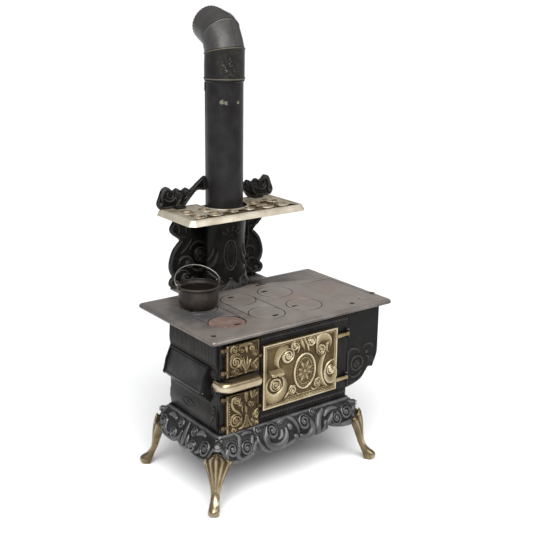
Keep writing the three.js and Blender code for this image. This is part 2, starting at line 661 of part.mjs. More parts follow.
function ovenDoorPiece() {
  const { piece, face, cx, cz, wide, tall } = doorPlate(ovenDoor, ovenScrollShares);
  const m = medallionShares;
  const [mx, mz] = [cx + m.x * wide, cz + m.z * tall];
  const rim = panel(ellipse(mx, mz, m.rx * wide, m.rz * tall), face - door.relief, face + sink, 9);
  const bowl = panel(ellipse(mx, mz, (m.rx - m.rim) * wide, m.rz * tall - m.rim * wide),
    face - door.relief - overrun, face + sink + overrun, 9);
  const petals = Array.from({ length: m.petals }, (_, i) => {
    const angle = i / m.petals * Math.PI * 2;
    const petal = ellipse(0, (m.boss * 1.1 + m.rz * 0.13) * wide, m.boss * 0.42 * wide, m.boss * wide);
    const geometry = new THREE.ExtrudeGeometry(petal, {
      depth: door.relief / 2, bevelEnabled: false, curveSegments: 3,
    });
    geometry.rotateX(Math.PI / 2).rotateY(angle);
    return solid(geometry.translate(mx, face + sink / 2, mz));
  });
  const boss = rod([mx, face + sink, mz], [mx, face - door.relief, mz], m.boss * wide, 12);
  const l = lipShares;
  const [lx, lz] = [cx + l.x * wide, cz + l.z * tall];
  const lip = loft([-1, -0.5, 0, 0.5, 1].map((s) => {
    const reach = l.deep * wide * Math.sqrt(1.05 - s * s);
    const droop = l.thick * wide * 0.6 * s * s;
    const at = (out, up) => new THREE.Vector3(lx + s * l.half * wide, face + sink - out, lz + up - droop);
    return [at(0, 0), at(reach * 0.6, -l.thick * wide * 0.2), at(reach, -l.thick * wide),
      at(reach * 0.9, -l.thick * wide * 1.2), at(reach * 0.5, -l.thick * wide * 0.7),
      at(0, -l.thick * wide * 0.6)];
  }));
  const whole = joined(piece, rim.subtract(bowl), petals, boss, lip);
  finish('oven_door', without(whole, hingeBores(ovenDoor)), warmNickel);
}

const tabShares = { z: 0.3, long: 0.12, tall: 0.09 };

function smallDoor(name, spec, tabAt) {
  const { piece, face, cz, wide, tall } = doorPlate(spec, smallScrollShares);
  const tab = box(spec.right - sink, spec.right + tabShares.long * wide, face, face + door.thick / 2,
    cz + tabAt * tall - tabShares.tall * wide / 2, cz + tabAt * tall + tabShares.tall * wide / 2);
  finish(name, joined(piece, tab), warmNickel);
}

function doorsAndPins() {
  ovenDoorPiece();
  smallDoor('fire_door', fireDoor, -tabShares.z * 0.1);
  smallDoor('ash_door', ashDoor, tabShares.z * 0.6);
  ovenDoor.levels.forEach((z, i) => {
    finish(`oven_door_pin_${['lower', 'upper'][i]}`, hingePin(ovenDoor, z), brightSteel);
  });
}

// The rounded rail between the fire door and the ash door
function frontRail() {
  const outline = (shrink) => {
    const [x0, x1] = [rail.left + shrink, rail.right - shrink];
    const front = body.front - rail.out + shrink;
    const shape = new THREE.Shape();
    shape.moveTo(x1, body.front + rail.wrap);
    shape.lineTo(x0, body.front + rail.wrap);
    shape.lineTo(x0, front + rail.round);
    shape.absarc(x0 + rail.round, front + rail.round, rail.round, Math.PI, Math.PI * 1.5);
    shape.absarc(x1 - rail.edge, front + rail.edge, rail.edge, Math.PI * 1.5, Math.PI * 2);
    return shape.getPoints(5);
  };
  const levels = [[0, 1], [0.16, 0.25], [0.5, 0], [0.84, 0.25], [1, 1]];
  const rings = levels.map(([up, shrink]) => outline(shrink * rail.edge).map(
    (p) => new THREE.Vector3(p.x, p.y, rail.bottom + up * (rail.top - rail.bottom))));
  const room = box(body.left - body.bow - gap, rail.right + overrun,
    body.front - gap, body.front + rail.wrap + overrun, rail.bottom - overrun, rail.top + overrun);
  finish('front_rail', without(loft(rings), room), warmNickel);
}

// The oven: an open box behind its door, with ledges and a wire rack
function ovenParts() {
  const back = inner.back - oven.flueRoom;
  const outer = box(oven.left, oven.right, inner.front, back, oven.bottom, oven.top);
  const hollow = box(oven.left + oven.wall, oven.right - oven.wall, inner.front - overrun, back - oven.wall,
    oven.bottom + oven.wall, oven.top - oven.wall);
  const ledgeLow = oven.bottom + oven.ledgeHeight;
  const ledges = [[oven.left + oven.wall - sink, oven.left + oven.wall + oven.ledge],
    [oven.right - oven.wall - oven.ledge, oven.right - oven.wall + sink]].map(
    ([x0, x1]) => box(x0, x1, inner.front, back - oven.wall, ledgeLow, ledgeLow + oven.ledgeThick));
  finish('oven_box', joined(without(outer, hollow), ledges), sheetSteel);

  const r = oven.barRadius;
  const z = ledgeLow + oven.ledgeThick + gap + r;
  const [x0, x1] = [oven.left + oven.wall + gap + r, oven.right - oven.wall - gap - r];
  const [y0, y1] = [inner.front + oven.wall, back - oven.wall - gap - r];
  const bars = Array.from({ length: oven.bars }, (_, i) => {
    const x = x0 + (x1 - x0) * i / (oven.bars - 1);
    return rod([x, y0 - r, z], [x, y1 + r, z], r, 4);
  });
  const ends = [y0, y1].map((y) => rod([x0 - r, y, z], [x1 + r, y, z], r * 1.1, 4));
  finish('oven_rack', joined(bars, ends), brightSteel);
}

// The fire side: a lining ring with ports, a barred grate on its ledge and the ash pan below
function fireParts() {
  const left = body.left + wall + gap;
  const right = oven.left - gap;
  const back = inner.back;
  const t = fire.linerWall;
  const outer = box(left, right, inner.front, back, fire.linerBottom, fire.linerTop);
  const shaft = box(left + t, right - t, inner.front + t, back - t,
    fire.linerBottom + t, fire.linerTop + overrun);
  const throat = box(left + t + grate.ledge, right - t - grate.ledge, inner.front + t + grate.ledge,
    back - t - grate.ledge, fire.linerBottom - overrun, fire.linerBottom + t + overrun);
  const port = box(fire.left, fire.right, inner.front - overrun, inner.front + t + overrun,
    fire.bottom, fire.top - t);
  const feedPort = box(left - overrun, left + t + overrun, feed.front, feed.back, fire.linerBottom + t * 2,
    feed.top - gap);
  finish('firebox_lining', without(outer, shaft, throat, port, feedPort), blackIron);

  const g = { x0: left + t + gap, x1: right - t - gap, y0: inner.front + t + gap, y1: back - t - gap };
  const low = fire.linerBottom + t + gap;
  const plate = box(g.x0, g.x1, g.y0, g.y1, low, low + grate.thick);
  const pitch = (g.y1 - g.y0 - grate.frame) / grate.bars;
  const slots = Array.from({ length: grate.bars }, (_, i) => box(
    g.x0 + grate.frame, g.x1 - grate.frame, g.y0 + grate.frame + i * pitch,
    g.y0 + grate.frame + (i + 1) * pitch - grate.barWide, low - overrun, low + grate.thick + overrun));
  finish('fire_grate', without(plate, slots), darkIron);

  const pan = { x0: ash.left + ash.panSide, x1: ash.right - ash.panSide, y0: inner.front + ash.panSide };
  const panTop = floorTop + gap + ash.panTall;
  const tray = box(pan.x0, pan.x1, pan.y0, inner.back - ash.panSide, floorTop + gap, panTop);
  const w = ash.panWall;
  const trough = box(pan.x0 + w, pan.x1 - w, pan.y0 + w, inner.back - ash.panSide - w, floorTop + gap + w,
    panTop + overrun);
  finish('ash_pan', without(tray, trough), sheetSteel);
}

// The water reservoir at the right: a bracket-shaped shell, the tank and its cover
const reservoirShares = [
  [1, 1], [1, 0.45], [0.975, 0.34], [0.9, 0.25], [0.84, 0.19], [0.72, 0.2], [0.62, 0.15], [0.48, 0.07],
  [0.22, 0.02], [0, 0],
];

function reservoirParts() {
  const left = body.right + gap;
  const wide = reservoir.right - left;
  const tall = wallTop - reservoir.bottom;
  const outline = [[left, wallTop], ...reservoirShares.map(
    ([u, v]) => [left + u * wide, reservoir.bottom + v * tall])].reverse();
  const hollowLine = inset(outline, wall);
  const shell = panel(polygon(outline), body.front, body.back);
  const hollow = panel(polygon(hollowLine), body.front + wall, body.back - wall);
  const mouth = box(left + wall, reservoir.right - wall, body.front + wall, body.back - wall,
    wallTop - wall - overrun, wallTop + overrun);
  finish('reservoir_shell', without(shell, hollow, mouth), blackIron);

  const t = tankRoom();
  const w = reservoir.tankWall;
  const flangeTop = cooktop.height - cover.thick - 2 * gap;
  const tank = box(t.left + gap, t.right - gap, t.front + gap, t.back - gap, reservoir.tankBottom, flangeTop);
  const flange = box(t.left - reservoir.tankFlange, t.right + reservoir.tankFlange,
    t.front - reservoir.tankFlange, t.back + reservoir.tankFlange, flangeTop - w, flangeTop);
  const room = box(t.left + gap + w, t.right - gap - w, t.front + gap + w, t.back - gap - w,
    reservoir.tankBottom + w, flangeTop + overrun);
  finish('reservoir_tank', without(joined(tank, flange), room), sheetSteel);

  const notchX = (cover.left + cover.right) / 2;
  const notch = slab(stadium(notchX, cover.front + gap, cover.notchLong, cover.notchDeep),
    cooktop.height - cover.thick - overrun, cooktop.height + overrun, 2);
  const lidPlate = box(cover.left + gap, cover.right - gap, cover.front + gap, cover.back - gap,
    cooktop.height - cover.thick, cooktop.height);
  finish('reservoir_lid', without(lidPlate, notch), deckIron);
}

// The hole in the cooktop that the tank hangs in, held clear of the shell's walls
function tankRoom() {
  return {
    left: cover.left + cover.ledge, right: reservoir.right - wall - cover.ledge,
    front: cover.front + cover.ledge, back: cover.back - cover.ledge,
  };
}

// The cooktop with its wells, and what lies in them
function deckOutline(shrink) {
  const [hx, hy] = [cooktop.length / 2 - shrink, cooktop.depth / 2 - shrink];
  const r = cooktop.corner - shrink;
  const tongue = cooktop.tongueHalf - shrink;
  const shape = new THREE.Shape();
  shape.absarc(hx - r, -hy + r, r, -Math.PI / 2, 0);
  shape.absarc(hx - r, hy - r, r, 0, Math.PI / 2);
  shape.lineTo(middle + tongue, hy);
  shape.lineTo(middle + tongue, cooktop.tongueBack - shrink);
  shape.lineTo(middle - tongue, cooktop.tongueBack - shrink);
  shape.lineTo(middle - tongue, hy);
  shape.absarc(-hx + r, hy - r, r, Math.PI / 2, Math.PI);
  shape.absarc(-hx + r, -hy + r, r, Math.PI, Math.PI * 1.5);
  return shape;
}

function centreOutline(x, radius) {
  const [front, rear] = lidRows;
  const block = box(
    x - lid.radius, x + lid.radius, front + lid.horn, rear - lid.horn, -overrun, lid.thick + overrun);
  return without(block, lidRows.map((y) => disc(x, y, radius, -overrun * 2, lid.thick + overrun * 2)));
}

const slotAngles = [[-60, 200], [-74, 100], [175, 141]];
const lidNames = [
  ['front_left', 'rear_left'], ['front_middle', 'rear_middle'], ['front_right', 'rear_right'],
];

function slice(piece, low, high) {
  const reach = cooktop.length;
  const keep = box(-reach, reach, -reach, reach, 0, high - low);
  return piece.intersect(keep).translate([0, 0, low]);
}

function cooktopAndLids() {
  const z = cooktop.height;
  const seat = z - lid.thick - gap;
  const bevelled = new THREE.ExtrudeGeometry(deckOutline(cooktop.nose), {
    depth: cooktop.thick - 2 * cooktop.nose, bevelEnabled: true, bevelThickness: cooktop.nose,
    bevelSize: cooktop.nose, bevelSegments: 2, curveSegments: 4,
  });
  let deck = solid(bevelled.translate(0, 0, z - cooktop.thick + cooktop.nose));
  const under = z - cooktop.thick - overrun;
  const throat = lid.radius - lid.ledge;
  lidColumns.forEach((x, column) => {
    lidRows.forEach((y, row) => {
      deck = without(deck, disc(x, y, lid.radius + gap, seat, z + overrun), disc(x, y, throat, under, z));
      const reach = lid.slotAtShare * lid.radius;
      const turn = THREE.MathUtils.degToRad(slotAngles[column][row]);
      const [slotX, slotY] = [x + reach * Math.cos(turn), y + reach * Math.sin(turn)];
      const slot = slab(
        stadium(slotX, slotY, lid.slotLong, lid.slotWide), seat - overrun, z + overrun, 2);
      const sunk = column === 0 && row === 0 ? lid.sunk : 0;
      finish(`lid_${lidNames[column][row]}`, without(disc(x, y, lid.radius, z - lid.thick, z - sunk), slot),
        column === 0 && row === 0 ? rustyIron : deckIron);
    });
    if (column < 2) {
      const [front, rear] = lidRows;
      deck = without(deck,
        box(x - lid.radius - gap, x + lid.radius + gap, front + lid.horn - gap, rear - lid.horn + gap,
          seat, z + overrun),
        box(x - throat, x + throat, front, rear, under, z));
      const upper = slice(centreOutline(x, lid.radius + gap), z - lid.thick, z);
      const lowerBlock = box(x - throat + gap, x + throat - gap, front + lid.horn, rear - lid.horn,
        seat - gap - lid.lip, z - lid.thick + sink);
      const lower = without(lowerBlock, lidRows.map((y) => disc(x, y, throat, under, z)),
        lidRows.map((y) => disc(x, y, lid.radius + gap, seat - gap, z)));
      finish(`centre_piece_${column === 0 ? 'left' : 'middle'}`, joined(upper, lower), deckIron);
    }
  });

  const t = tankRoom();
  const rabbet = reservoir.tankFlange + gap;
  const coverSeat = z - cover.thick - gap;
  deck = without(deck,
    box(cover.left, cover.right, cover.front, cover.back, coverSeat, z + overrun),
    box(t.left, t.right, t.front, t.back, under, z),
    box(t.left - rabbet, t.right + rabbet, t.front - rabbet, t.back + rabbet,
      coverSeat - gap - reservoir.tankWall, coverSeat + gap));
  const damperSlot = stadium(damper.x, damper.y, damper.slotLong, damper.slotWide);
  deck = without(deck, slab(damperSlot, under, z + overrun, 2));
  deck = without(deck, slab(ellipse(middle, pipe.y, flue.half - wall * 1.5,
    (casing.back - casing.front) / 2 - wall * 1.5), under, z + overrun, 5));
  for (const { x, y } of Object.values(screwPlaces)) {
    deck = without(deck, disc(x, y, screw.radius + gap, under, z + overrun, 8),
      disc(x, y, screw.radius + gap, z - screw.headThick, z + gap, 8, screw.headRadius + gap));
  }
  for (const side of [-1, 1]) {
    const x = middle + side * splat.lugAt;
    deck = without(deck, disc(x, splat.front - splat.lug / 2, bolt.radius + gap, under, z + overrun, 6));
  }
  finish('cooktop', deck, deckIron);

  for (const [name, { x, y }] of Object.entries(screwPlaces)) {
    finish(`plate_screw_${name}`, joined(
      disc(x, y, screw.radius, z - cooktop.thick, z - screw.headThick + sink, 8),
      disc(x, y, screw.radius, z - screw.headThick, z, 8, screw.headRadius)), darkIron);
  }

  const bladeTop = deckUnder - gap;
  finish('damper_slide', joined(
    box(damper.x - damper.bladeWide / 2, damper.x + damper.bladeWide / 2, damper.y - damper.bladeDeep / 2,
      damper.y + damper.bladeDeep / 2, bladeTop - damper.thick, bladeTop),
    disc(damper.x, damper.y, damper.slotWide / 2 - gap, bladeTop - sink, z + gap + sink, 10),
    disc(damper.x, damper.y, damper.knobRadius, z + gap, z + gap + damper.knobTall, 12,
      damper.knobRadius / 2)),
    darkIron);
}

// The back: splat with the flue casing, collar, shelf and crest
const splatShares = [
  [0.86, 0], [0.95, 0.012], [1, 0.05], [0.985, 0.11], [0.935, 0.15], [0.97, 0.2], [0.995, 0.28],
  [0.975, 0.38], [0.91, 0.49], [0.82, 0.565], [0.775, 0.595], [0.82, 0.635], [0.89, 0.67],
  [0.955, 0.72], [0.965, 0.775], [0.91, 0.84], [0.86, 0.9], [0.84, 1],
];
const casingShares = [
  [0, 1.16, 1.25], [0.12, 1, 1.06], [0.4, 0.93, 0.95], [0.7, 0.92, 0.95], [0.93, 0.9, 1.2],
  [1, 0.87, 1.26],
];

const casingFacets = 14;

function casingRings(shrink) {
  const low = cooktop.height + gap;
  return casingShares.map(([up, across, deep], i) => {
    const past = shrink && i === 0 ? -overrun : 0;
    const beyond = shrink && i === casingShares.length - 1 ? overrun : 0;
    const rx = casing.halfWidth * across - shrink;
    const ry = (casing.back - casing.front) / 2 * deep - shrink;
    return Array.from({ length: casingFacets }, (_, j) => {
      const angle = j / casingFacets * Math.PI * 2;
      return new THREE.Vector3(middle + rx * Math.cos(angle), pipe.y + ry * Math.sin(angle),
        low + up * (casing.top - low) + past + beyond);
    });
  });
}

const splatScrollShares = [
  { x: 0.72, z: 0.2, r0: 0.17, r1: 0.04, a0: -120, a1: 250, w0: 0.05, w1: 0.03 },
];

function backSplat() {
  const low = cooktop.height + gap;
  const tall = shelfUnder - gap - low;
  const half = splat.halfWidth;
  const right = splatShares.map(([u, v]) => [middle + u * half, low + v * tall]);
  const left = splatShares.map(([u, v]) => [middle - u * half, low + v * tall]).reverse();
  const plate = panel(polygon([...right, ...left]), splat.front, splat.front + splat.thick);
  const relief = [1, -1].flatMap((side) => splatScrollShares.map((s) => scroll(
    splat.front, middle + side * s.x * half, low + s.z * tall, {
      r0: s.r0 * half, r1: s.r1 * half, w0: s.w0 * half, w1: s.w1 * half,
      a0: side > 0 ? s.a0 : 180 - s.a0, a1: side > 0 ? s.a1 : 180 - s.a1,
    })));
  const lugs = [1, -1].map((side) => {
    const x = middle + side * splat.lugAt;
    const top = low + splat.lugThick;
    return without(
      box(x - splat.lug / 2, x + splat.lug / 2, splat.front - splat.lug, splat.front + sink, low, top),
      disc(x, splat.front - splat.lug / 2, bolt.radius + gap, low - overrun, top + overrun, 6));
  });
  const brackets = [1, -1].map((side) => {
    const x = middle + side * splat.bracketAt;
    const high = shelfUnder - gap;
    const shape = new THREE.Shape();
    shape.moveTo(splat.front + sink, high);
    shape.lineTo(splat.front - splat.bracketDeep, high);
    shape.lineTo(splat.front - splat.bracketDeep, high - splat.bracketThick);
    shape.quadraticCurveTo(splat.front - splat.bracketTall, high - splat.bracketThick, splat.front + sink,
      high - splat.bracketTall);
    return sidePanel(shape, x - splat.bracketThick / 2, x + splat.bracketThick / 2, 4);
  });
  const footX = crest.footAt;
  const pads = [1, -1].map((side) => {
    const x = middle + side * footX;
    return without(
      box(x - crest.footHalf * 1.6, x + crest.footHalf, splat.front - crest.footDeep, splat.front + sink,
        shelfUnder - gap - wall, shelfUnder - gap),
      boltHole(x, shelfUnder - gap - wall));
  });
  const whole = joined(plate, relief, lugs, brackets, pads, loft(casingRings(0)));
  const bore = loft(casingRings(casing.wall));
  const collarRoom = disc(middle, pipe.y, pipe.radius + wall * 1.5 + gap * 5, casing.top, shelf.top);
  finish('back_splat', without(whole, bore, collarRoom, [1, -1].map(
    (side) => boltHole(middle + side * footX, shelfUnder - wall))), blackIron);

  for (const side of [1, -1]) {
    uprightBolt(`splat_bolt_${side > 0 ? 'right' : 'left'}`, middle + side * splat.lugAt,
      splat.front - splat.lug / 2, deckUnder - gap, low + splat.lugThick + gap);
  }
}

// A bolt that stands upright, its nut's top and its head's underside at the given levels
function uprightBolt(name, x, y, nutTop, seat) {
  finish(name, joined(
    disc(x, y, bolt.radius, nutTop - bolt.nutThick - sink, seat + sink, 6),
    disc(x, y, bolt.headRadius, seat, seat + bolt.headThick, 6),
    disc(x, y, bolt.nutRadius, nutTop - bolt.nutThick, nutTop, 6)), darkIron);
}

function boltHole(x, low) {
  return disc(x, splat.front - crest.footDeep / 2, bolt.radius + gap,
    low - overrun * 4, low + crest.footDeep, 6);
}

const crestTopShares = [
  [0.2, 1], [0.33, 0.82], [0.46, 0.58], [0.53, 0.66], [0.61, 0.58], [0.68, 0.68], [0.76, 0.61],
  [0.84, 0.77], [0.92, 0.69], [0.97, 0.42], [1, 0.2], [0.97, 0.04],
];
const crestLowShares = [
  [0.88, 0], [0.8, 0.1], [0.72, 0], [0.56, 0], [0.46, 0.28], [0.34, 0.52], [0.2, 0.52],
];

function shelfAndCrest() {
  const flange = shelf.top - shelf.skirt;
  const outline = (grow) => roundedRectangle(shelf.left - grow, shelf.right + grow, shelf.front - grow,
    shelfBack, shelf.corner).getPoints(3);
  const ring = (grow, z) => outline(grow).map((p) => new THREE.Vector3(p.x, p.y, z));
  const outer = loft([ring(shelf.flare, flange), ring(shelf.flare * 0.7, flange + shelf.skirt * 0.4),
    ring(0, shelf.top)]);
  const under = loft([
    ring(shelf.flare - shelf.thick * 0.8, flange - overrun), ring(-shelf.thick * 0.6, shelfUnder)]);
  const backRoom = box(shelf.left - shelf.flare * 2, shelf.right + shelf.flare * 2,
    splat.front - crest.footDeep, shelfBack + overrun, flange - overrun, shelfUnder);
  const notchEnd = disc(middle, pipe.y, shelf.notch, flange - overrun, shelf.top + overrun, 24);
  const notch = box(middle - shelf.notch, middle + shelf.notch, pipe.y, shelfBack + overrun,
    flange - overrun, shelf.top + overrun);
  const plate = without(outer, under, backRoom, notchEnd, notch);
  const holes = [1, -1].map((side) => boltHole(middle + side * crest.footAt, shelfUnder));
  finish('high_shelf', without(plate, shelfPiercings(), holes), paleNickel);

  const low = shelf.top + gap;
  const place = ([u, v]) => [middle + u * crest.halfWidth, low + v * crest.tall];
  const mirror = ([x, z]) => [2 * middle - x, z];
  const rightLine = [...crestTopShares, ...crestLowShares].map(place);
  const arms = [rightLine, rightLine.map(mirror)].map(
    (line) => panel(polygon(line), splat.front, splat.front + crest.thick));
  const feet = [1, -1].map((side) => {
    const x = middle + side * crest.footAt;
    return box(x - crest.footHalf, x + crest.footHalf, splat.front - crest.footDeep, splat.front + sink, low,
      low + wall);
  });
  const strapLow = low + crest.tall * 0.56;
  const strapHigh = low + crest.tall * 0.9;
  const strap = without(disc(middle, pipe.y, pipe.radius + gap + crest.strap, strapLow, strapHigh, 32),
    disc(middle, pipe.y, pipe.radius + gap, strapLow - overrun, strapHigh + overrun, 32),
    box(middle - pipe.radius * 2, middle + pipe.radius * 2, pipe.y - pipe.radius * 2, splat.front,
      strapLow - overrun, strapHigh + overrun));
  const bore = disc(middle, pipe.y, pipe.radius + gap, low - overrun, low + crest.tall + overrun, 32);
  finish('shelf_crest', without(joined(arms, feet, strap), bore,
    [1, -1].map((side) => boltHole(middle + side * crest.footAt, low))), blackIron);

  for (const side of [1, -1]) {
    uprightBolt(`shelf_bolt_${side > 0 ? 'right' : 'left'}`, middle + side * crest.footAt,
      splat.front - crest.footDeep / 2, shelfUnder - gap - wall - gap, low + wall + gap);
  }
}

// The shelf's openwork: rows of paired scroll-shaped openings
const piercingShares = { rows: 2, columns: 6 };

function shelfPiercings() {
  const p = piercingShares;
  const border = shelf.corner;
  const [x0, x1] = [shelf.left + border, shelf.right - border];
  const [y0, y1] = [shelf.front + border, splat.front - crest.footDeep * 1.5];
  const cell = [(x1 - x0) / p.columns, (y1 - y0) / p.rows];
  const cuts = [];
  for (let i = 0; i < p.columns; i += 1) {
    for (let j = 0; j < p.rows; j += 1) {
      const [cx, cy] = [x0 + (i + 0.5) * cell[0], y0 + (j + 0.5) * cell[1]];
      const r = Math.min(...cell) * 0.42;
      if (Math.hypot(cx - middle, cy - pipe.y) < shelf.notch + r * 1.25) continue;
      if (Math.abs(Math.abs(cx - middle) - splat.bracketAt) < splat.bracketThick && cy > y1) continue;
      const turn = (i + j) % 2 ? 1 : -1;
      cuts.push(commaHole(cx, cy, r, turn, 0), commaHole(cx, cy, r, turn, 180));
    }
  }
  return cuts;
}

// A curled drop, wide at its head and drawn to a tail round the cell's middle
function commaHole(cx, cy, r, turn, start) {
  const outer = [];
  const innerLine = [];
  const steps = 3;
  for (let i = 0; i <= steps; i += 1) {
    const t = i / steps;
    const angle = THREE.MathUtils.degToRad(start + turn * (12 + 140 * t));
    const half = r * 0.3 * Math.sin(Math.PI * (0.12 + 0.8 * t) ** 0.8) + r * 0.04;
    const at = (radius) => [cx + radius * Math.cos(angle), cy + radius * Math.sin(angle)];
    outer.push(at(r * 0.66 + half));
    innerLine.push(at(r * 0.66 - half));
  }
  return slab(polygon([...outer, ...innerLine.reverse()]), shelfUnder - overrun, shelf.top + overrun);
}

// The collar, the pipe and the gored elbow
function collarAndPipe() {
  const low = casing.top + gap;
  const socket = pipe.radius + gap;
  const foot = pipeFoot;
  const outer = socket + wall;
  const lipTop = shelfUnder - gap * 2;
  finish('flue_collar', turned([
    [socket - wall, low], [outer + wall / 2, low], [outer + wall / 2, low + wall], [outer, low + wall],
    [outer, lipTop], [socket, lipTop], [socket, foot - gap], [socket - wall, foot - gap],
    [socket - wall, low],
  ], middle, pipe.y), blackIron);

  const r = pipe.radius;
  finish('stovepipe', turned([
    [r - pipe.wall, foot], [r, foot], [r, pipe.beadAt - pipe.bead * 2],
    [r + pipe.bead, pipe.beadAt - pipe.bead], [r + pipe.bead, pipe.beadAt - pipe.bead / 2],
    [r, pipe.beadAt], [r, pipe.top], [r - pipe.wall, pipe.top],
    [r - pipe.wall, foot],
  ], middle, pipe.y), pipeSteel);
}

// One ring of a gore: a circle in a plane that leans to the back
function goreRing(centre, radius, lean, facets = 20, crimp = 0) {
  const tilt = THREE.MathUtils.degToRad(lean);
  return Array.from({ length: facets }, (_, j) => {
    const angle = j / facets * Math.PI * 2;
    const r = radius - (j % 2 ? crimp : 0);
    return new THREE.Vector3(middle + r * Math.cos(angle),
      centre[0] + r * Math.sin(angle) * Math.cos(tilt), centre[1] - r * Math.sin(angle) * Math.sin(tilt));
  });
}

function ahead([y, z], lean, distance) {
  const tilt = THREE.MathUtils.degToRad(lean);
  return [y + distance * Math.sin(tilt), z + distance * Math.cos(tilt)];
}

function tube(stations) {
  const ring = (s, shrink, past = 0) => goreRing(
    ahead(s.at, s.lean, past), s.radius - shrink, s.lean, s.facets, s.crimp ?? 0);
  const outer = stations.map((s) => ring(s, 0));
  const ends = [stations[0], stations.at(-1)];
  const bore = [ring(ends[0], pipe.wall, -overrun), ...ends.map((s) => ring(s, pipe.wall)),
    ring(ends[1], pipe.wall, overrun)];
  return without(loft(outer), loft(bore));
}

function elbowParts() {
  const r = pipe.radius + elbow.slip + pipe.wall;
  const foot = [pipe.y, pipe.beadAt + gap];
  const seam1 = [pipe.y, elbow.sleeveTop];
  const seam2 = ahead(seam1, elbow.midTilt, elbow.midReach);
  const mouth = ahead(seam2, elbow.endTilt, elbow.endReach);
  const e = elbow;
  const facets = e.crimps * 2;
  finish('elbow_sleeve', tube([
    { at: foot, radius: r, lean: 0 }, { at: ahead(foot, 0, e.bead * 2), radius: r + e.bead, lean: 0 },
    { at: ahead(foot, 0, e.bead * 4), radius: r, lean: 0 },
    { at: ahead(seam1, e.seamTilt, -e.bead * 3), radius: r, lean: e.seamTilt },
    { at: ahead(seam1, e.seamTilt, -e.bead), radius: r + e.bead, lean: e.seamTilt },
    { at: ahead(seam1, e.seamTilt, -gap / 2), radius: r, lean: e.seamTilt },
  ]), pipeSteel);
  finish('elbow_middle', tube([
    { at: ahead(seam1, e.seamTilt, gap / 2), radius: r - e.bead / 2, lean: e.seamTilt },
    { at: ahead(seam2, e.bend, -e.bead * 3), radius: r - e.bead / 2, lean: e.bend },
    { at: ahead(seam2, e.bend, -e.bead), radius: r + e.bead / 2, lean: e.bend },
    { at: ahead(seam2, e.bend, -gap / 2), radius: r - e.bead / 2, lean: e.bend },
  ]), elbowSteel);
  finish('elbow_end', tube([
    { at: ahead(seam2, e.bend, gap / 2), radius: r, lean: e.bend, facets },
    { at: ahead(seam2, e.endTilt, e.endReach / 2), radius: r - e.endShrink / 2, lean: e.endTilt, facets },
    { at: mouth, radius: r - e.endShrink, lean: e.endTilt, facets, crimp: e.crimpDeep },
  ]), elbowSteel);
}

const bailSteps = 12;
const bailFacets = 6;

// The kettle on the rear left lid, with its wire bail leaning back
const kettleShares = [
  [0, 0], [0.76, 0], [0.92, 0.22], [0.955, 0.48], [0.92, 0.72], [0.9, 0.82], [1, 0.93], [1, 1],
];

function kettleParts() {
  const low = cooktop.height + gap;
  const { radius, height, wall: skin } = kettle;
  const outside = kettleShares.map(([r, h]) => [r * radius, low + h * height]);
  const inside = [7, 4, 3, 1].map((i) => kettleShares[i]).map(([r, h]) => [
    r * radius - skin, low + Math.max(h * height, skin)]);
  const bowl = turned([...outside, ...inside, [0, low + skin]], kettle.x, kettle.y, 16);
  const turn = THREE.MathUtils.degToRad(kettle.turn);
  const axis = new THREE.Vector3(Math.cos(turn), Math.sin(turn), 0);
  const across = new THREE.Vector3(-Math.sin(turn), Math.cos(turn), 0);
  const pivot = low + height + bail.earUp;
  const centre = new THREE.Vector3(kettle.x, kettle.y, pivot);
  const place = (out, side, up) => centre.clone().addScaledVector(axis, out).addScaledVector(across, side)
    .add(new THREE.Vector3(0, 0, up));
  const ears = [1, -1].map((side) => {
    const near = side * (radius - skin * 0.4);
    const far = side * (radius + bail.earThick);
    const rings = [near, far].map((out) => [
      [-bail.earHalf, -height * 0.2], [bail.earHalf, -height * 0.2], [bail.earHalf, 0],
      [bail.earHalf * 0.6, bail.earHalf * 0.8], [-bail.earHalf * 0.6, bail.earHalf * 0.8], [-bail.earHalf, 0],
    ].map(([s, u]) => place(out, s, u)));
    return loft(rings);
  });
  const bore = rod(place(-radius * 2, 0, 0).toArray(), place(radius * 2, 0, 0).toArray(), bail.hole);
  finish('kettle', without(joined(bowl, ears), bore), darkIron);

  const lean = THREE.MathUtils.degToRad(bail.lean);
  const bailPoint = (out, rise) => place(out, rise * Math.sin(lean), rise * Math.cos(lean));
  const bailNormal = across.clone().multiplyScalar(Math.cos(lean))
    .add(new THREE.Vector3(0, 0, -Math.sin(lean)));
  const stub = radius - skin * 1.5;
  const bow = Array.from({ length: bailSteps + 1 }, (_, i) => {
    const angle = Math.PI * i / bailSteps;
    return [bail.halfWidth * Math.cos(angle), bail.rise * Math.sin(angle)];
  });
  const line = [[stub, 0], ...bow, [-stub, 0]];
  const unit = (from, to) => new THREE.Vector2(to[0] - from[0], to[1] - from[1]).normalize();
  const rings = line.map(([out, rise], i) => {
    const before = unit(line[Math.max(i - 1, 0)], line[Math.max(i, 1)]);
    const after = unit(line[Math.min(i, line.length - 2)], line[Math.min(i + 1, line.length - 1)]);
    const along = before.add(after).normalize();
    return Array.from({ length: bailFacets }, (_, j) => {
      const angle = j / bailFacets * Math.PI * 2;
      const flat = bail.radius * Math.cos(angle);
      const point = bailPoint(out - along.y * flat, rise + along.x * flat);
      return point.addScaledVector(bailNormal, bail.radius * Math.sin(angle));
    });
  });
  finish('kettle_bail', loft(rings), brightSteel);
}

baseAndLegs();
plainPanels();
frontPanel();
endPanelLeft();
flueBox();
doorsAndPins();
frontRail();
ovenParts();
fireParts();
reservoirParts();
cooktopAndLids();
backSplat();
shelfAndCrest();
collarAndPipe();
elbowParts();
kettleParts();

const whole = new THREE.Box3().setFromObject(stove);
const centre = whole.getCenter(new THREE.Vector3());
stove.position.set(-centre.x, -centre.y, -whole.min.z);
stove.updateMatrixWorld(true);

export default stove;
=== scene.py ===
import json
import math

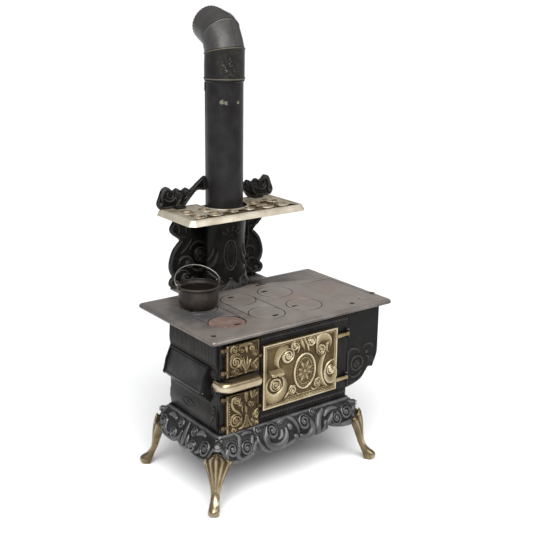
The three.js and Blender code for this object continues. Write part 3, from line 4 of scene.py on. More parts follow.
import bmesh
import bpy
import numpy as np
from mathutils import Matrix, Vector
from mathutils.geometry import tessellate_polygon

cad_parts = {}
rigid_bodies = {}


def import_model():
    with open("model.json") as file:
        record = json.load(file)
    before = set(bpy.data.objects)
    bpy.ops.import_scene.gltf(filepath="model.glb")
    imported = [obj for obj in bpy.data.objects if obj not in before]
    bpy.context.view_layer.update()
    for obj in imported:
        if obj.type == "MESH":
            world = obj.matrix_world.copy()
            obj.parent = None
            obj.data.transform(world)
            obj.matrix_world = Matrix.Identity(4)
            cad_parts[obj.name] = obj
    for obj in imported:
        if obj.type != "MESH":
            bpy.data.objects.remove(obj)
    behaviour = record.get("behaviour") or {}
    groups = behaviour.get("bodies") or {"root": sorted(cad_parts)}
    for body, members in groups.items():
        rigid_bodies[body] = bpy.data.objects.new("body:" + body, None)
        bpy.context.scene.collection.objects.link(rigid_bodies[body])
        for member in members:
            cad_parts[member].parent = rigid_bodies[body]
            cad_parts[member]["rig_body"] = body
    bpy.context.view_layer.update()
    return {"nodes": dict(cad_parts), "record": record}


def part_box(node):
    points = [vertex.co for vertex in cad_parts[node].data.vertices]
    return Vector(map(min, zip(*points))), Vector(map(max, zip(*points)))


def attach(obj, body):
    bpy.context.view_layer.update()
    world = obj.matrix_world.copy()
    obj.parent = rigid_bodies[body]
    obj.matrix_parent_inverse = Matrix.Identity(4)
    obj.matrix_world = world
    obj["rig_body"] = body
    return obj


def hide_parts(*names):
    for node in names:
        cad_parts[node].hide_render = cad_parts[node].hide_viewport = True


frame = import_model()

MM = 0.001
NODES = frame["nodes"]
NODE_SLOT = {entry["node"]: entry["material_slot"] for entry in frame["record"]["subparts"]}

# Everything below is in millimetres about the middle of the cooktop, with z = 0 on the floor.
DECK_HALF_DEPTH = 134.2
DECK_TOP, DECK_FACE = 322.3, 322.0
MIDDLE, PIPE_Y = -3.0, 144.0
BODY_LEFT, BODY_RIGHT, BODY_FRONT, BODY_BACK = -193.3, 110, -120.5, 50
DOOR_FACE, HINGE_Y = -125.8, -125.5
deck_low, deck_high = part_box("cooktop")
SHIFT = np.array([(deck_low.x + deck_high.x) / 2 / MM, deck_low.y / MM + DECK_HALF_DEPTH, 0.0])
BUMP_DEPTH = 0.0004
BEVEL = 0.5
SHARP_ANGLE = math.radians(38)
HALF_TURN, FULL_TURN = math.pi, 2 * math.pi


def metres(points):
    return (np.asarray(points, float) + SHIFT) * MM


def linear(thousandths):
    """A linear colour from thousandths of full red, green and blue."""
    return tuple(part / 1000 for part in thousandths)


# Materials
class Shade:
    """A material's nodes, which take their patterns from the object's own coordinates."""

    def __init__(self, name):
        self.material = bpy.data.materials.new(name)
        self.material.use_nodes = True
        self.tree = self.material.node_tree
        self.coords = self.add("ShaderNodeTexCoord", out="Object")

    def put(self, socket, value):
        if isinstance(value, bpy.types.NodeSocket):
            self.tree.links.new(value, socket)
        else:
            socket.default_value = (*value, 1) if isinstance(value, tuple) else value

    def add(self, kind, inputs=(), out=0, **settings):
        """An output of a new node, whose inputs are set or linked by name or number."""
        node = self.tree.nodes.new(kind)
        for key, value in settings.items():
            setattr(node, key, value)
        for key, value in dict(inputs).items():
            self.put(node.inputs[key], value)
        return node.outputs[out]

    def noise(self, scale, detail, rough=0.55):
        return self.add("ShaderNodeTexNoise", {"Vector": self.coords, "Scale": scale, "Detail": detail,
                                               "Roughness": rough})

    def far_from(self, place):
        return self.add("ShaderNodeVectorMath", {0: self.coords, 1: metres(place)}, "Value",
                        operation="DISTANCE")

    def math(self, kind, *values, clamp=False):
        return self.add("ShaderNodeMath", enumerate(values), operation=kind, use_clamp=clamp)

    def span(self, value, low, high, to_low=0.0, to_high=1.0):
        return self.add("ShaderNodeMapRange", enumerate((value, low, high, to_low, to_high)), clamp=True)

    def ramp(self, value, stops):
        """A colour by value, from stops of {percent: colour in thousandths}."""
        out = self.add("ShaderNodeValToRGB", {0: value})
        elements = out.node.color_ramp.elements
        for percent in list(stops)[2:]:
            elements.new(percent / 100)
        for element, (percent, colour) in zip(elements, stops.items()):
            element.position = percent / 100
            element.color = (*linear(colour), 1)
        return out

    def mix(self, share, a, b):
        return self.add("ShaderNodeMix", {0: share, 6: a, 7: linear(b)}, 2, data_type="RGBA")

    def finish(self, colour, rough, height, strength, metallic=0.0, specular=0.5):
        bump = self.add("ShaderNodeBump", {"Strength": strength, "Distance": BUMP_DEPTH, "Height": height})
        for name, value in (("Base Color", colour), ("Roughness", rough), ("Metallic", metallic),
                            ("Specular IOR Level", specular), ("Normal", bump)):
            self.put(self.tree.nodes["Principled BSDF"].inputs[name], value)
        return self.material


CHIP = (155, 148, 108)


def metal(name, stops, metallic, rough, patches, grain=0.25, chips=(), painted_reflection_pools=(), blotch=0.35, specular=0.5):
    """A cast or plated metal, with colours in thousandths. stops run from the recesses' colour to the
    ridges', by
    the tone attribute: painted shade in the hollows and painted highlights on the ridges, partly wear.
    Patches are (colour, size in mm, share covered, strength, lean to the recesses), chips are (place, reach
    in mm, size in mm, share covered), and pools of painted reflection and shade are (colour, place, reach in
    mm, strength)."""
    s = Shade(name)
    tone = s.add("ShaderNodeAttribute", out="Fac", attribute_name="tone")
    broad = s.noise(28, 5)
    fine = s.noise(420, 6, 0.65)
    level = s.math("MULTIPLY_ADD", tone, 0.5, 0.5)
    level = s.math("ADD", level, s.span(broad, 0.3, 0.7, -blotch / 2, blotch / 2))
    level = s.math("ADD", level, s.span(fine, 0.3, 0.7, -0.07, 0.07), clamp=True)
    colour = s.ramp(level, stops)
    roughness = s.span(broad, 0.3, 0.7, rough - 0.06, rough + 0.08)
    for tint, size, cover, strength, lean in patches:
        spots = s.math("SUBTRACT", s.noise(1000 / size, 6, 0.6), s.math("MULTIPLY", tone, lean))
        share = s.span(spots, 0.78 - cover / 2, 0.86 - cover / 2, 0, strength)
        colour = s.mix(share, colour, tint)
        roughness = s.math("MULTIPLY_ADD", share, 0.2, rough)
    # Painted reflection and shade: soft pools of colour laid about given places.
    for tint, place, reach, strength in painted_reflection_pools:
        wander = s.math("MULTIPLY_ADD", s.noise(40, 4), reach * 0.9 * MM, s.far_from(place))
        colour = s.mix(s.span(wander, reach * 0.55 * MM, reach * 1.35 * MM, strength, 0), colour, tint)
    for place, reach, size, cover in chips:
        near = s.span(s.far_from(place), reach * 0.3 * MM, reach * MM, 0, 0.5)
        flakes = s.math("SUBTRACT", s.noise(1000 / size, 3), near)
        colour = s.mix(s.span(flakes, 0.6 - 0.3 * cover, 0.63 - 0.3 * cover), colour, CHIP)
    return s.finish(colour, roughness, fine, grain, metallic, specular)


# In each metal the low and high stops carry the painted shade and painted highlights laid on by the tone
# attribute, partly wear.
IRON = metal("cast_black", {0: (2, 2, 2), 50: (8.3, 7.2, 6.6), 100: (36, 33.5, 31.5)}, 0.12, 0.34,
             [((18, 14.5, 11), 14, 0.3, 0.4, 0.15)], specular=0.14)
GUNMETAL = metal("cast_gunmetal", {0: (4, 4, 4), 50: (25, 24.5, 24.5), 100: (105, 104, 104)}, 0.4, 0.32,
                 [((45, 37, 29), 12, 0.28, 0.4, 0.15)], specular=0.35)
PLATE_IRON = metal("door_iron", {0: (6, 6, 6), 50: (36, 35, 35.5), 100: (110, 109, 109)}, 0.4, 0.34,
                   [((50, 43, 37), 20, 0.28, 0.4, 0.1)], specular=0.35)
# The deck's pools are painted reflection: darker by the kettle at the left, lighter towards the right.
DECK = metal("deck_iron", {0: (12, 10, 9.5), 50: (300, 262, 235), 100: (560, 535, 510)}, 0.45, 0.3,
             [((300, 210, 170), 60, 0.34, 0.34, 0)], grain=0.1, blotch=0.14, specular=0.4,
             painted_reflection_pools=[((85, 86, 94), (-150, -8, 322), 95, 0.9), ((100, 98, 98), (-190, 60, 322), 100, 0.7),
                    ((340, 225, 175), (60, -20, 322), 60, 0.4), ((320, 220, 180), (165, 0, 322), 70, 0.45)])
RUSTY = metal("rusty_iron", {0: (50, 22, 14), 50: (175, 122, 103), 100: (360, 270, 220)}, 0.15, 0.62,
              [((330, 155, 95), 9, 0.38, 0.7, 0), ((100, 85, 80), 14, 0.3, 0.5, 0)], grain=0.5, specular=0.3)
NICKEL = metal("aged_nickel", {0: (32, 20, 8), 30: (115, 80, 35), 55: (225, 172, 88), 80: (360, 295, 175),
                               100: (540, 470, 325)}, 0.8, 0.34, [((78, 50, 19), 9, 0.36, 0.5, 0.2)])
BROWN_NICKEL = metal("browned_nickel", {0: (16, 7, 2), 30: (36, 24, 10), 60: (80, 55, 24), 85: (165, 122, 62),
                                        100: (330, 260, 150)}, 0.75, 0.38,
                                        [((55, 34, 13), 9, 0.46, 0.5, 0.25)])
PALE_NICKEL = metal("pale_nickel", {0: (35, 22, 12), 35: (220, 165, 100), 60: (460, 405, 310),
                                    100: (720, 670, 560)}, 0.45, 0.36, [((200, 140, 75), 7, 0.42, 0.5, 0.5)])
RAIL_NICKEL = metal("rail_nickel", {0: (50, 30, 13), 45: (300, 235, 140), 100: (680, 600, 460)}, 0.85, 0.28,
                    [((300, 145, 95), 18, 0.34, 0.4, 0)], grain=0.02)
LEG_NICKEL = metal("leg_nickel", {0: (20, 12, 5), 35: (105, 76, 36), 65: (235, 185, 108),
                                  100: (560, 490, 360)},
                   0.85, 0.25, [((70, 42, 16), 14, 0.3, 0.6, 0.2)], grain=0.06)
PIPE = metal("pipe_black", {0: (6, 5.5, 5.5), 50: (12, 11, 11.2), 100: (34, 32, 32)}, 0.15, 0.34,
             [((18, 15, 15), 60, 0.4, 0.5, 0)], grain=0.1, specular=0.13,
             chips=[((-28, 115.5, 702), 8, 4, 0.9), ((-22, 111.5, 701), 8, 4, 0.8),
                    ((4, 106.6, 701), 6, 3, 0.85)])
SLEEVE = metal("pipe_sleeve", {0: (6, 5.5, 5.5), 50: (13.5, 12.5, 12.5), 100: (130, 115, 85)}, 0.15, 0.4,
               [((30, 27, 22), 5, 0.2, 0.4, 0)], specular=0.16, blotch=0.12,
               chips=[((-15, 107.5, 765), 60, 3, -0.1)])
ELBOW = metal("pipe_scuffed", {0: (12, 11.5, 11.5), 50: (60, 58, 57), 100: (150, 135, 105)}, 0.35, 0.36,
              [((130, 115, 90), 5, 0.2, 0.4, 0), ((30, 30, 31), 30, 0.3, 0.5, 0)], grain=0.2, blotch=0.2,
              specular=0.35)
KETTLE = metal("kettle_iron", {0: (6, 4.5, 3.5), 50: (26, 20.5, 17), 100: (85, 73, 62)}, 0.3, 0.46,
               [((55, 36, 25), 13, 0.4, 0.6, 0)], grain=0.4, specular=0.35)
WIRE = metal("steel_wire", {0: (80, 70, 60), 50: (240, 225, 200), 100: (500, 480, 440)}, 0.8, 0.35,
             [((120, 80, 50), 6, 0.3, 0.6, 0)])
SHEET = metal("sheet_steel", {0: (30, 27, 25), 50: (90, 83, 76), 100: (260, 240, 220)}, 0.5, 0.5,
              [((120, 60, 35), 20, 0.35, 0.6, 0)])
SLOT_LOOKS = {"black_iron": IRON, "deck_iron": DECK, "rusty_iron": RUSTY, "warm_nickel": NICKEL,
              "pale_nickel": PALE_NICKEL, "pipe_black": PIPE, "elbow_grey": ELBOW, "dark_iron": KETTLE,
              "bright_steel": WIRE, "sheet_steel": SHEET}


# Meshes
def settle(name, mesh, look, node):
    """A mesh object that rides on a CAD node's body in the node's place."""
    mesh.polygons.foreach_set("use_smooth", [True] * len(mesh.polygons))
    mesh.set_sharp_from_angle(angle=SHARP_ANGLE)
    mesh.materials.clear()
    mesh.materials.append(look)
    made = bpy.data.objects.new(name, mesh)
    bpy.context.scene.collection.objects.link(made)
    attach(made, NODES[node]["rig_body"])
    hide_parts(node)


def gather(*parts):
    """Parts of (points, faces) or (points, faces, tones) as one set of points, faces and tones."""
    points, faces, tones = [], [], []
    for part_points, part_faces, *part_tones in parts:
        count = len(points)
        points += [tuple(p) for p in part_points]
        faces += [[int(i) + count for i in f] for f in part_faces]
        tones += list(part_tones[0]) if part_tones else [0.2] * len(part_points)
    return points, faces, tones


def toned(part, tone):
    return part[0], part[1], [tone] * len(part[0])


def cast(name, look, node, *parts):
    """A mesh object from parts in millimetres, in the place of a CAD node."""
    points, faces, tones = gather(*parts)
    mesh = bpy.data.meshes.new(name)
    mesh.from_pydata(metres(points).tolist(), [], faces)
    mesh.validate()
    mesh.attributes.new("tone", "FLOAT", "POINT").data.foreach_set("value", np.array(tones, np.float32))
    work = bmesh.new()
    work.from_mesh(mesh)
    bmesh.ops.remove_doubles(work, verts=work.verts, dist=2e-6)
    bmesh.ops.recalc_face_normals(work, faces=work.faces)
    work.to_mesh(mesh)
    work.free()
    settle(name, mesh, look, node)


def dress(node, look=None, extra=None):
    """A CAD node's own form with its edges rounded, and further (points, faces, tones) cast on it."""
    mesh = NODES[node].data.copy()
    work = bmesh.new()
    work.from_mesh(mesh)
    bmesh.ops.remove_doubles(work, verts=work.verts, dist=1e-6)
    bmesh.ops.dissolve_limit(work, angle_limit=math.radians(1), verts=work.verts, edges=work.edges)
    edges = [e for e in work.edges if len(e.link_faces) == 2 and e.calc_face_angle(0) > math.radians(36)]
    bmesh.ops.bevel(work, geom=edges, offset=BEVEL * MM, segments=2, profile=0.6, affect="EDGES",
                    clamp_overlap=True)
    bmesh.ops.triangulate(work, faces=[f for f in work.faces if len(f.verts) > 4])
    if extra:
        layer = work.verts.layers.float.new("tone")
        made = [work.verts.new(p) for p in metres(extra[0])]
        for vert, value in zip(made, extra[2]):
            vert[layer] = value
        fresh = [work.faces.new([made[i] for i in face]) for face in extra[1]]
        bmesh.ops.recalc_face_normals(work, faces=fresh)
    work.to_mesh(mesh)
    work.free()
    mesh.name = node + "_form"
    settle(node + "_form", mesh, look or SLOT_LOOKS[NODE_SLOT[node]], node)


def skin(rings, loop=False):
    """Points and faces over rings of points with the same count, closed at the ends or in a loop."""
    n = len(rings[0])
    points = [tuple(p) for ring in rings for p in ring]
    faces = []
    for i in range(len(rings) if loop else len(rings) - 1):
        a, b = i * n, (i + 1) % len(rings) * n
        faces += [[a + k, a + (k + 1) % n, b + (k + 1) % n, b + k] for k in range(n)]
    if not loop:
        faces += [list(range(n))[::-1], list(range(len(points) - n, len(points)))]
    return points, faces


def around(count):
    return np.linspace(0, FULL_TURN, count, endpoint=False)


def arc(x, y, rx, ry, angles):
    return [(x + rx * math.cos(a), y + ry * math.sin(a)) for a in angles]


def circle(x, y, radius, count):
    return arc(x, y, radius, radius, around(count))


def pill(x, y, long, wide):
    half, r = (long - wide) / 2, wide / 2
    turn = np.linspace(-HALF_TURN / 2, HALF_TURN / 2, 12)
    return arc(x + half, y, r, r, turn) + arc(x - half, y, r, r, turn + HALF_TURN)


def rectangle(x0, x1, y0, y1, r=0.0, count=7):
    """A rectangle from its lower left corner, or with round corners from the lower right one."""
    if not r:
        return [(x0, y0), (x1, y0), (x1, y1), (x0, y1)]
    corners = ((x1 - r, y0 + r, -90), (x1 - r, y1 - r, 0), (x0 + r, y1 - r, 90), (x0 + r, y0 + r, 180))
    return [p for x, y, a in corners for p in arc(x, y, r, r, np.radians(np.linspace(a, a + 90, count)))]


def turned(profile, x, y, count):
    """A shape turned about an upright line, from a closed (radius, height) profile."""
    return skin([[(x + r * math.cos(a), y + r * math.sin(a), z) for r, z in profile] for a in around(count)],
                True)


def sweep(path, radii, count):
    """A round wire along a path, with a radius for each of its points."""
    path = np.asarray(path, float)
    rings = []
    side = None
    for i, p in enumerate(path):
        onward = path[min(i + 1, len(path) - 1)] - path[max(i - 1, 0)]
        onward /= np.linalg.norm(onward)
        if side is None:
            side = np.cross(onward, [0.0, 0.0, 1.0] if abs(onward[2]) < 0.9 else [1.0, 0.0, 0.0])
        side = side - onward * side.dot(onward)
        side /= np.linalg.norm(side)
        up = np.cross(side, onward)
        rings.append([p + radii[i] * (math.cos(a) * side + math.sin(a) * up) for a in around(count)])
    return skin(rings)


def rod(start, end, radius, ease, count=32):
    """A round bar with eased ends."""
    start, end = np.asarray(start, float), np.asarray(end, float)
    step = (end - start) / np.linalg.norm(end - start) * ease
    return sweep([start, start + step, end - step, end], [radius - ease, radius, radius, radius - ease],
                 count)


def block(x0, x1, y0, y1, z0, z1, ease):
    rings = []
    for z, inset in ((z0, ease), (z0 + ease, 0), (z1 - ease, 0), (z1, ease)):
        corners = rectangle(x0 + inset, x1 - inset, y0 + inset, y1 - inset, ease, 3)
        rings.append([(x, y, z) for x, y in corners])
    return skin(rings)


def stepped_plate(*loops):
    """A flat plate with openings. Each loop is (outline of an inset, rows of (z, inset, tone) from the
    underside to the face). The first is the plate's own edge, and the others are openings, which run
    clockwise. The tones are painted light: darker on walls and undersides as painted shade, lighter on some
    rims as painted highlights."""
    points, faces, tones, caps = [], [], [], ([], [])
    for outline, rows in loops:
        first = len(points)
        for z, inset, tone in rows:
            ring = outline(inset)
            n = len(ring)
            points += [(x, y, z) for x, y in ring]
            tones += [tone] * n
        for a in range(first, len(points) - n, n):
            faces += [[a + k, a + (k + 1) % n, a + n + (k + 1) % n, a + n + k] for k in range(n)]
        caps[0].append(list(range(first, first + n)))
        caps[1].append(list(range(len(points) - n, len(points))))
    for cap in caps:
        flat = [i for loop in cap for i in loop]
        lines = [[Vector((*points[i][:2], 0)) for i in loop] for loop in cap]
        faces += [[flat[i] for i in triangle] for triangle in tessellate_polygon(lines)]
    return points, faces, tones


# Relief
def spline(rows, pace=0.8, closed=False):
    """Rows along a smooth curve through the given rows, about pace mm apart."""
    p = np.asarray(rows, float)
    ends = np.vstack([p[-1:], p, p[:2]] if closed else [2 * p[0] - p[1], p, 2 * p[-1] - p[-2]])
    parts = []
    for a, b, c, d in zip(ends, ends[1:], ends[2:], ends[3:]):
        n = max(1 if closed else 2, int(np.hypot(*(c - b)[:2]) / pace))
        t = np.linspace(0, 1, n, endpoint=False)[:, None]
        parts.append(0.5 * (2 * b + (c - a) * t + (2 * a - 5 * b + 4 * c - d) * t ** 2
                            + (3 * b - a - 3 * c + d) * t ** 3))
    return np.vstack(parts if closed else parts + [p[-1:]])


# A stroke's profiles, across it from -1 to 1
def rounded(t):
    return np.sqrt(np.clip(1 - t * t, 0, 1))


def domed(t):
    return np.clip(1 - np.abs(t) ** 5, 0, 1) ** 0.5 * (0.82 + 0.18 * t * t)


def shelving(t):
    """High along one edge and sinking to the other."""
    return (0.25 + 0.75 * np.clip((t + 1) / 2, 0, 1) ** 1.4) * np.sqrt(np.clip(1 - t ** 8, 0, 1))


def grooved(t):
    return rounded(t) * (1 - 0.5 * np.exp(-((np.abs(t) - 0.45) / 0.16) ** 2))


def band(distance, at, half, tall):
    """A rounded moulding, by the distance from an edge."""
    return tall * rounded(np.clip((distance - at) / half, -1, 1))


def smooth_step(value, low, high):
    t = np.clip((value - low) / (high - low), 0, 1)
    return t * t * (3 - 2 * t)


def steps(low, high, pace):
    return np.linspace(low, high, int(math.ceil((high - low) / pace)) + 1)


def edge_distance(u, v, outline):
    """Distance of each place from a closed outline, positive inside, and the nearest place on it."""
    p = np.stack([np.ravel(u), np.ravel(v)], 1)
    best = np.full(len(p), 1e9)
    spot = np.zeros_like(p)
    inside = np.zeros(len(p), bool)
    outline = np.asarray(outline, float)
    for a, b in zip(outline, np.roll(outline, -1, 0)):
        ab = b - a
        t = np.clip(((p - a) @ ab) / max(ab @ ab, 1e-12), 0, 1)
        q = a + t[:, None] * ab
        d = np.hypot(*(p - q).T)
        near = d < best
        best[near], spot[near] = d[near], q[near]
        if a[1] != b[1]:
            crosses = (a[1] > p[:, 1]) != (b[1] > p[:, 1])
            inside ^= crosses & (p[:, 0] < ab[0] * (p[:, 1] - a[1]) / ab[1] + a[0])
    return np.where(inside, best, -best).reshape(u.shape), spot.reshape(u.shape + (2,))


def facing_front(front):
    return lambda u, v, h: np.stack([u, front - h, v], 1)


def facing_up(u, v, h):
    return np.stack([u, v, h], 1)


class Relief:
    """Heights over a grid of places (u, v) on a face, which ends at an outline where one is given.
    A row of a stroke is (u, v, half width, height), and strokes are mirrored about u = axis if it is set."""

    def __init__(self, us, vs, outline=None):
        self.u, self.v = np.meshgrid(us, vs, indexing="ij")
        self.h = np.zeros(self.u.shape)
        self.axis = None
        self.edge = self.spot = None
        if outline is not None:
            self.edge, self.spot = edge_distance(self.u, self.v, outline)

    def fill(self, height):
        self.h = np.maximum(self.h, height)

    def lay(self, rows, profile=rounded):
        rows = np.atleast_2d(np.array(rows, float))
        if self.axis is not None:
            rows[:, 0] = 2 * self.axis - rows[:, 0]
        reach = rows[:, 2].max() + 0.5
        hit = ((self.u > rows[:, 0].min() - reach) & (self.u < rows[:, 0].max() + reach)
               & (self.v > rows[:, 1].min() - reach) & (self.v < rows[:, 1].max() + reach))
        pu, pv = self.u[hit], self.v[hit]
        ahead = np.gradient(rows[:, :2], axis=0) if len(rows) > 1 else np.array([[1.0, 0.0]])
        value = np.zeros(len(pu))
        for first in range(0, len(pu), 8000):
            du = pu[first:first + 8000, None] - rows[None, :, 0]
            dv = pv[first:first + 8000, None] - rows[None, :, 1]
            ratio = np.hypot(du, dv) / np.maximum(rows[None, :, 2], 0.05)
            k = ratio.argmin(1)
            at = np.arange(len(k))
            t = ratio[at, k]
            side = np.sign(ahead[k, 0] * dv[at, k] - ahead[k, 1] * du[at, k])
            value[first:first + 8000] = np.where(t < 1, rows[k, 3] * profile(np.clip(t, 0, 1) * side), 0)
        self.h[hit] = np.maximum(self.h[hit], value)

    def stroke(self, rows, profile=rounded):
        self.lay(spline(rows), profile)

    def both(self, rows, axis, profile=rounded):
        """The stroke and its mirror image about u = axis."""
        rows = spline(rows)
        self.lay(rows, profile)
        self.lay([(2 * axis - u, *rest) for u, *rest in rows[::-1]], profile)

    def beads(self, rows):
        for row in rows:
            self.lay([row])

    def ring(self, x, z, rx, rz, wide, tall, count=120):
        self.lay([(*p, wide, tall) for p in arc(x, z, rx, rz, np.linspace(0, FULL_TURN, count))])

    def petal(self, x, z, angle, near, far, wide, tall, profile=rounded):
        c, s = math.cos(math.radians(angle)), math.sin(math.radians(angle))
        shares = ((0, 0.35, 0.8), (0.35, 0.8, 1), (0.7, 1, 1), (1, 0.3, 0.6))
        rows = [(near + (far - near) * out, wide * w, tall * h) for out, w, h in shares]
        self.stroke([(x + r * c, z + r * s, w, h) for r, w, h in rows], profile)

    def cut(self, rows, deep):
        """A groove of the rows' half widths, whose depth is a share of the height it is cut into."""
        before = self.h
        self.h = np.zeros(before.shape)
        self.lay([(u, v, half, 1) for u, v, half in rows])
        self.h = before * (1 - deep * self.h)

    def volute(self, x, z, radius, start, turns, hand, wide, tall=2.4, tail=(), profile=rounded):
        """A fat rolled volute: a domed disc with a spiral groove, and a band running on along the tail."""
        reach = radius + wide * 0.5
        self.lay([(x, z, reach, tall)], domed)
        a = math.radians(start)
        if tail:
            first = (x + radius * 0.86 * math.cos(a), z + radius * 0.86 * math.sin(a), wide, tall)
            self.stroke([first, *tail], profile)
        t = np.linspace(0, 1, max(6, int(turns * 16)))
        angle = np.radians(start + hand * 50 - hand * 360 * turns * (1 - t))
        r = reach * (0.3 + 0.52 * t)
        groove = reach * (0.05 + 0.035 * t) + 0.35
        self.cut(spline(np.stack([x + r * np.cos(angle), z + r * np.sin(angle), groove], 1)), 0.75)
        self.lay([(x, z, reach * 0.24, tall * 1.12)])

    def tone(self, scale=0.7):
        """How far each place stands above or below its surroundings, from -1 to 1. The metals paint it as
        shade in the hollows and highlights on the ridges, partly as wear.
        """
        soft = self.h
        for _ in range(6):
            wide = np.pad(soft, ((2, 2), (0, 0)), mode="edge")
            soft = (sum(wide[i:i + len(soft)] for i in range(5)) / 5).T
        raised = np.clip(self.h / 1.8, 0, 1)
        return np.clip(0.5 * (self.h - soft) / scale + 0.95 * raised - 0.55, -1, 1)

    def plate(self, under, place, tone=None):
        """The plate between the heights and those under it, with place to turn (u, v, height) into points."""
        u, v = self.u.copy(), self.v.copy()
        nu, nv = u.shape
        cell = np.ones((nu - 1, nv - 1), bool)
        if self.edge is not None:
            d = self.edge
            cell = d[:-1, :-1] + d[1:, :-1] + d[:-1, 1:] + d[1:, 1:] > 0
        full = np.pad(cell, 1)
        count = full[:-1, :-1].astype(int) + full[1:, :-1] + full[:-1, 1:] + full[1:, 1:]
        used = count > 0
        if self.edge is not None:
            rim = used & (count < 4)
            u[rim], v[rim] = self.spot[rim].T
        number = np.cumsum(used).reshape(used.shape) - 1
        n = int(used.sum())
        lower = np.broadcast_to(under, u.shape)
        points = np.vstack([place(u[used], v[used], height[used]) for height in (self.h, lower)])
        i, j = np.nonzero(cell)
        corners = np.stack([number[i, j], number[i + 1, j], number[i + 1, j + 1], number[i, j + 1]], 1)
        faces = [corners, corners[:, ::-1] + n]
        for (da, db), (p, q) in (((0, -1), ((0, 0), (1, 0))), ((1, 0), ((1, 0), (1, 1))),
                                 ((0, 1), ((1, 1), (0, 1))), ((-1, 0), ((0, 1), (0, 0)))):
            i, j = np.nonzero(cell & ~full[1 + da:nu + da, 1 + db:nv + db])
            a, b = number[i + p[0], j + p[1]], number[i + q[0], j + q[1]]
            faces.append(np.stack([b, a, a + n, b + n], 1))
        tone = self.tone() if tone is None else tone
        return points, np.vstack(faces).tolist(), np.concatenate([tone[used], np.zeros(n)])


# Doors
def bar(x0, x1, y0, y1, z, half0, half1):
    """A rounded arm along X, whose half height goes from half0 to half1."""
    def eased(wave):
        return math.copysign(abs(wave) ** 0.6, wave)

    rings = [[(x, (y0 + y1) / 2 + (y1 - y0) / 2 * eased(math.cos(a)), z + half * eased(math.sin(a)))
              for a in around(24)] for x, half in ((x0, half0), (x1, half1))]
    return toned(skin(rings), 0.25)


def rosette(r, x, z, rx, rz):
    """A plain leaf rosette in a beaded oval."""
    r.ring(x, z, rx, rz, 2.3, 2.4)
    r.ring(x, z, rx * 0.72, rz * 0.76, 1, 1)
    r.beads([(*p, 1.5, 1.2) for p in arc(x, z, rx * 0.855, rz * 0.875, around(30))])
    for k in range(8):
        angle = 45 * k + 22.5
        reach = 0.66 * rx * rz / math.hypot(rz * math.cos(math.radians(angle)),
                                            rx * math.sin(math.radians(angle)))
        r.petal(x, z, angle, 4, reach, 3.4, 1.7, grooved)
        r.petal(x, z, 45 * k, 5, reach * 0.8, 1.5, 1.1)
    r.lay([(x, z, 4.2, 2.2)])
    r.ring(x, z, 5.2, 5.2, 0.8, 1, 40)


def bead_row(x0, z0, x1, z1, count, radius, tall):
    return [(x0 + (x1 - x0) * t, z0 + (z1 - z0) * t, radius, tall) for t in np.linspace(0, 1, count)]


DOOR_DEPTH = 4.9
DOOR_TONE = 0.62
ARM_Y = (-129.3, -125.4)


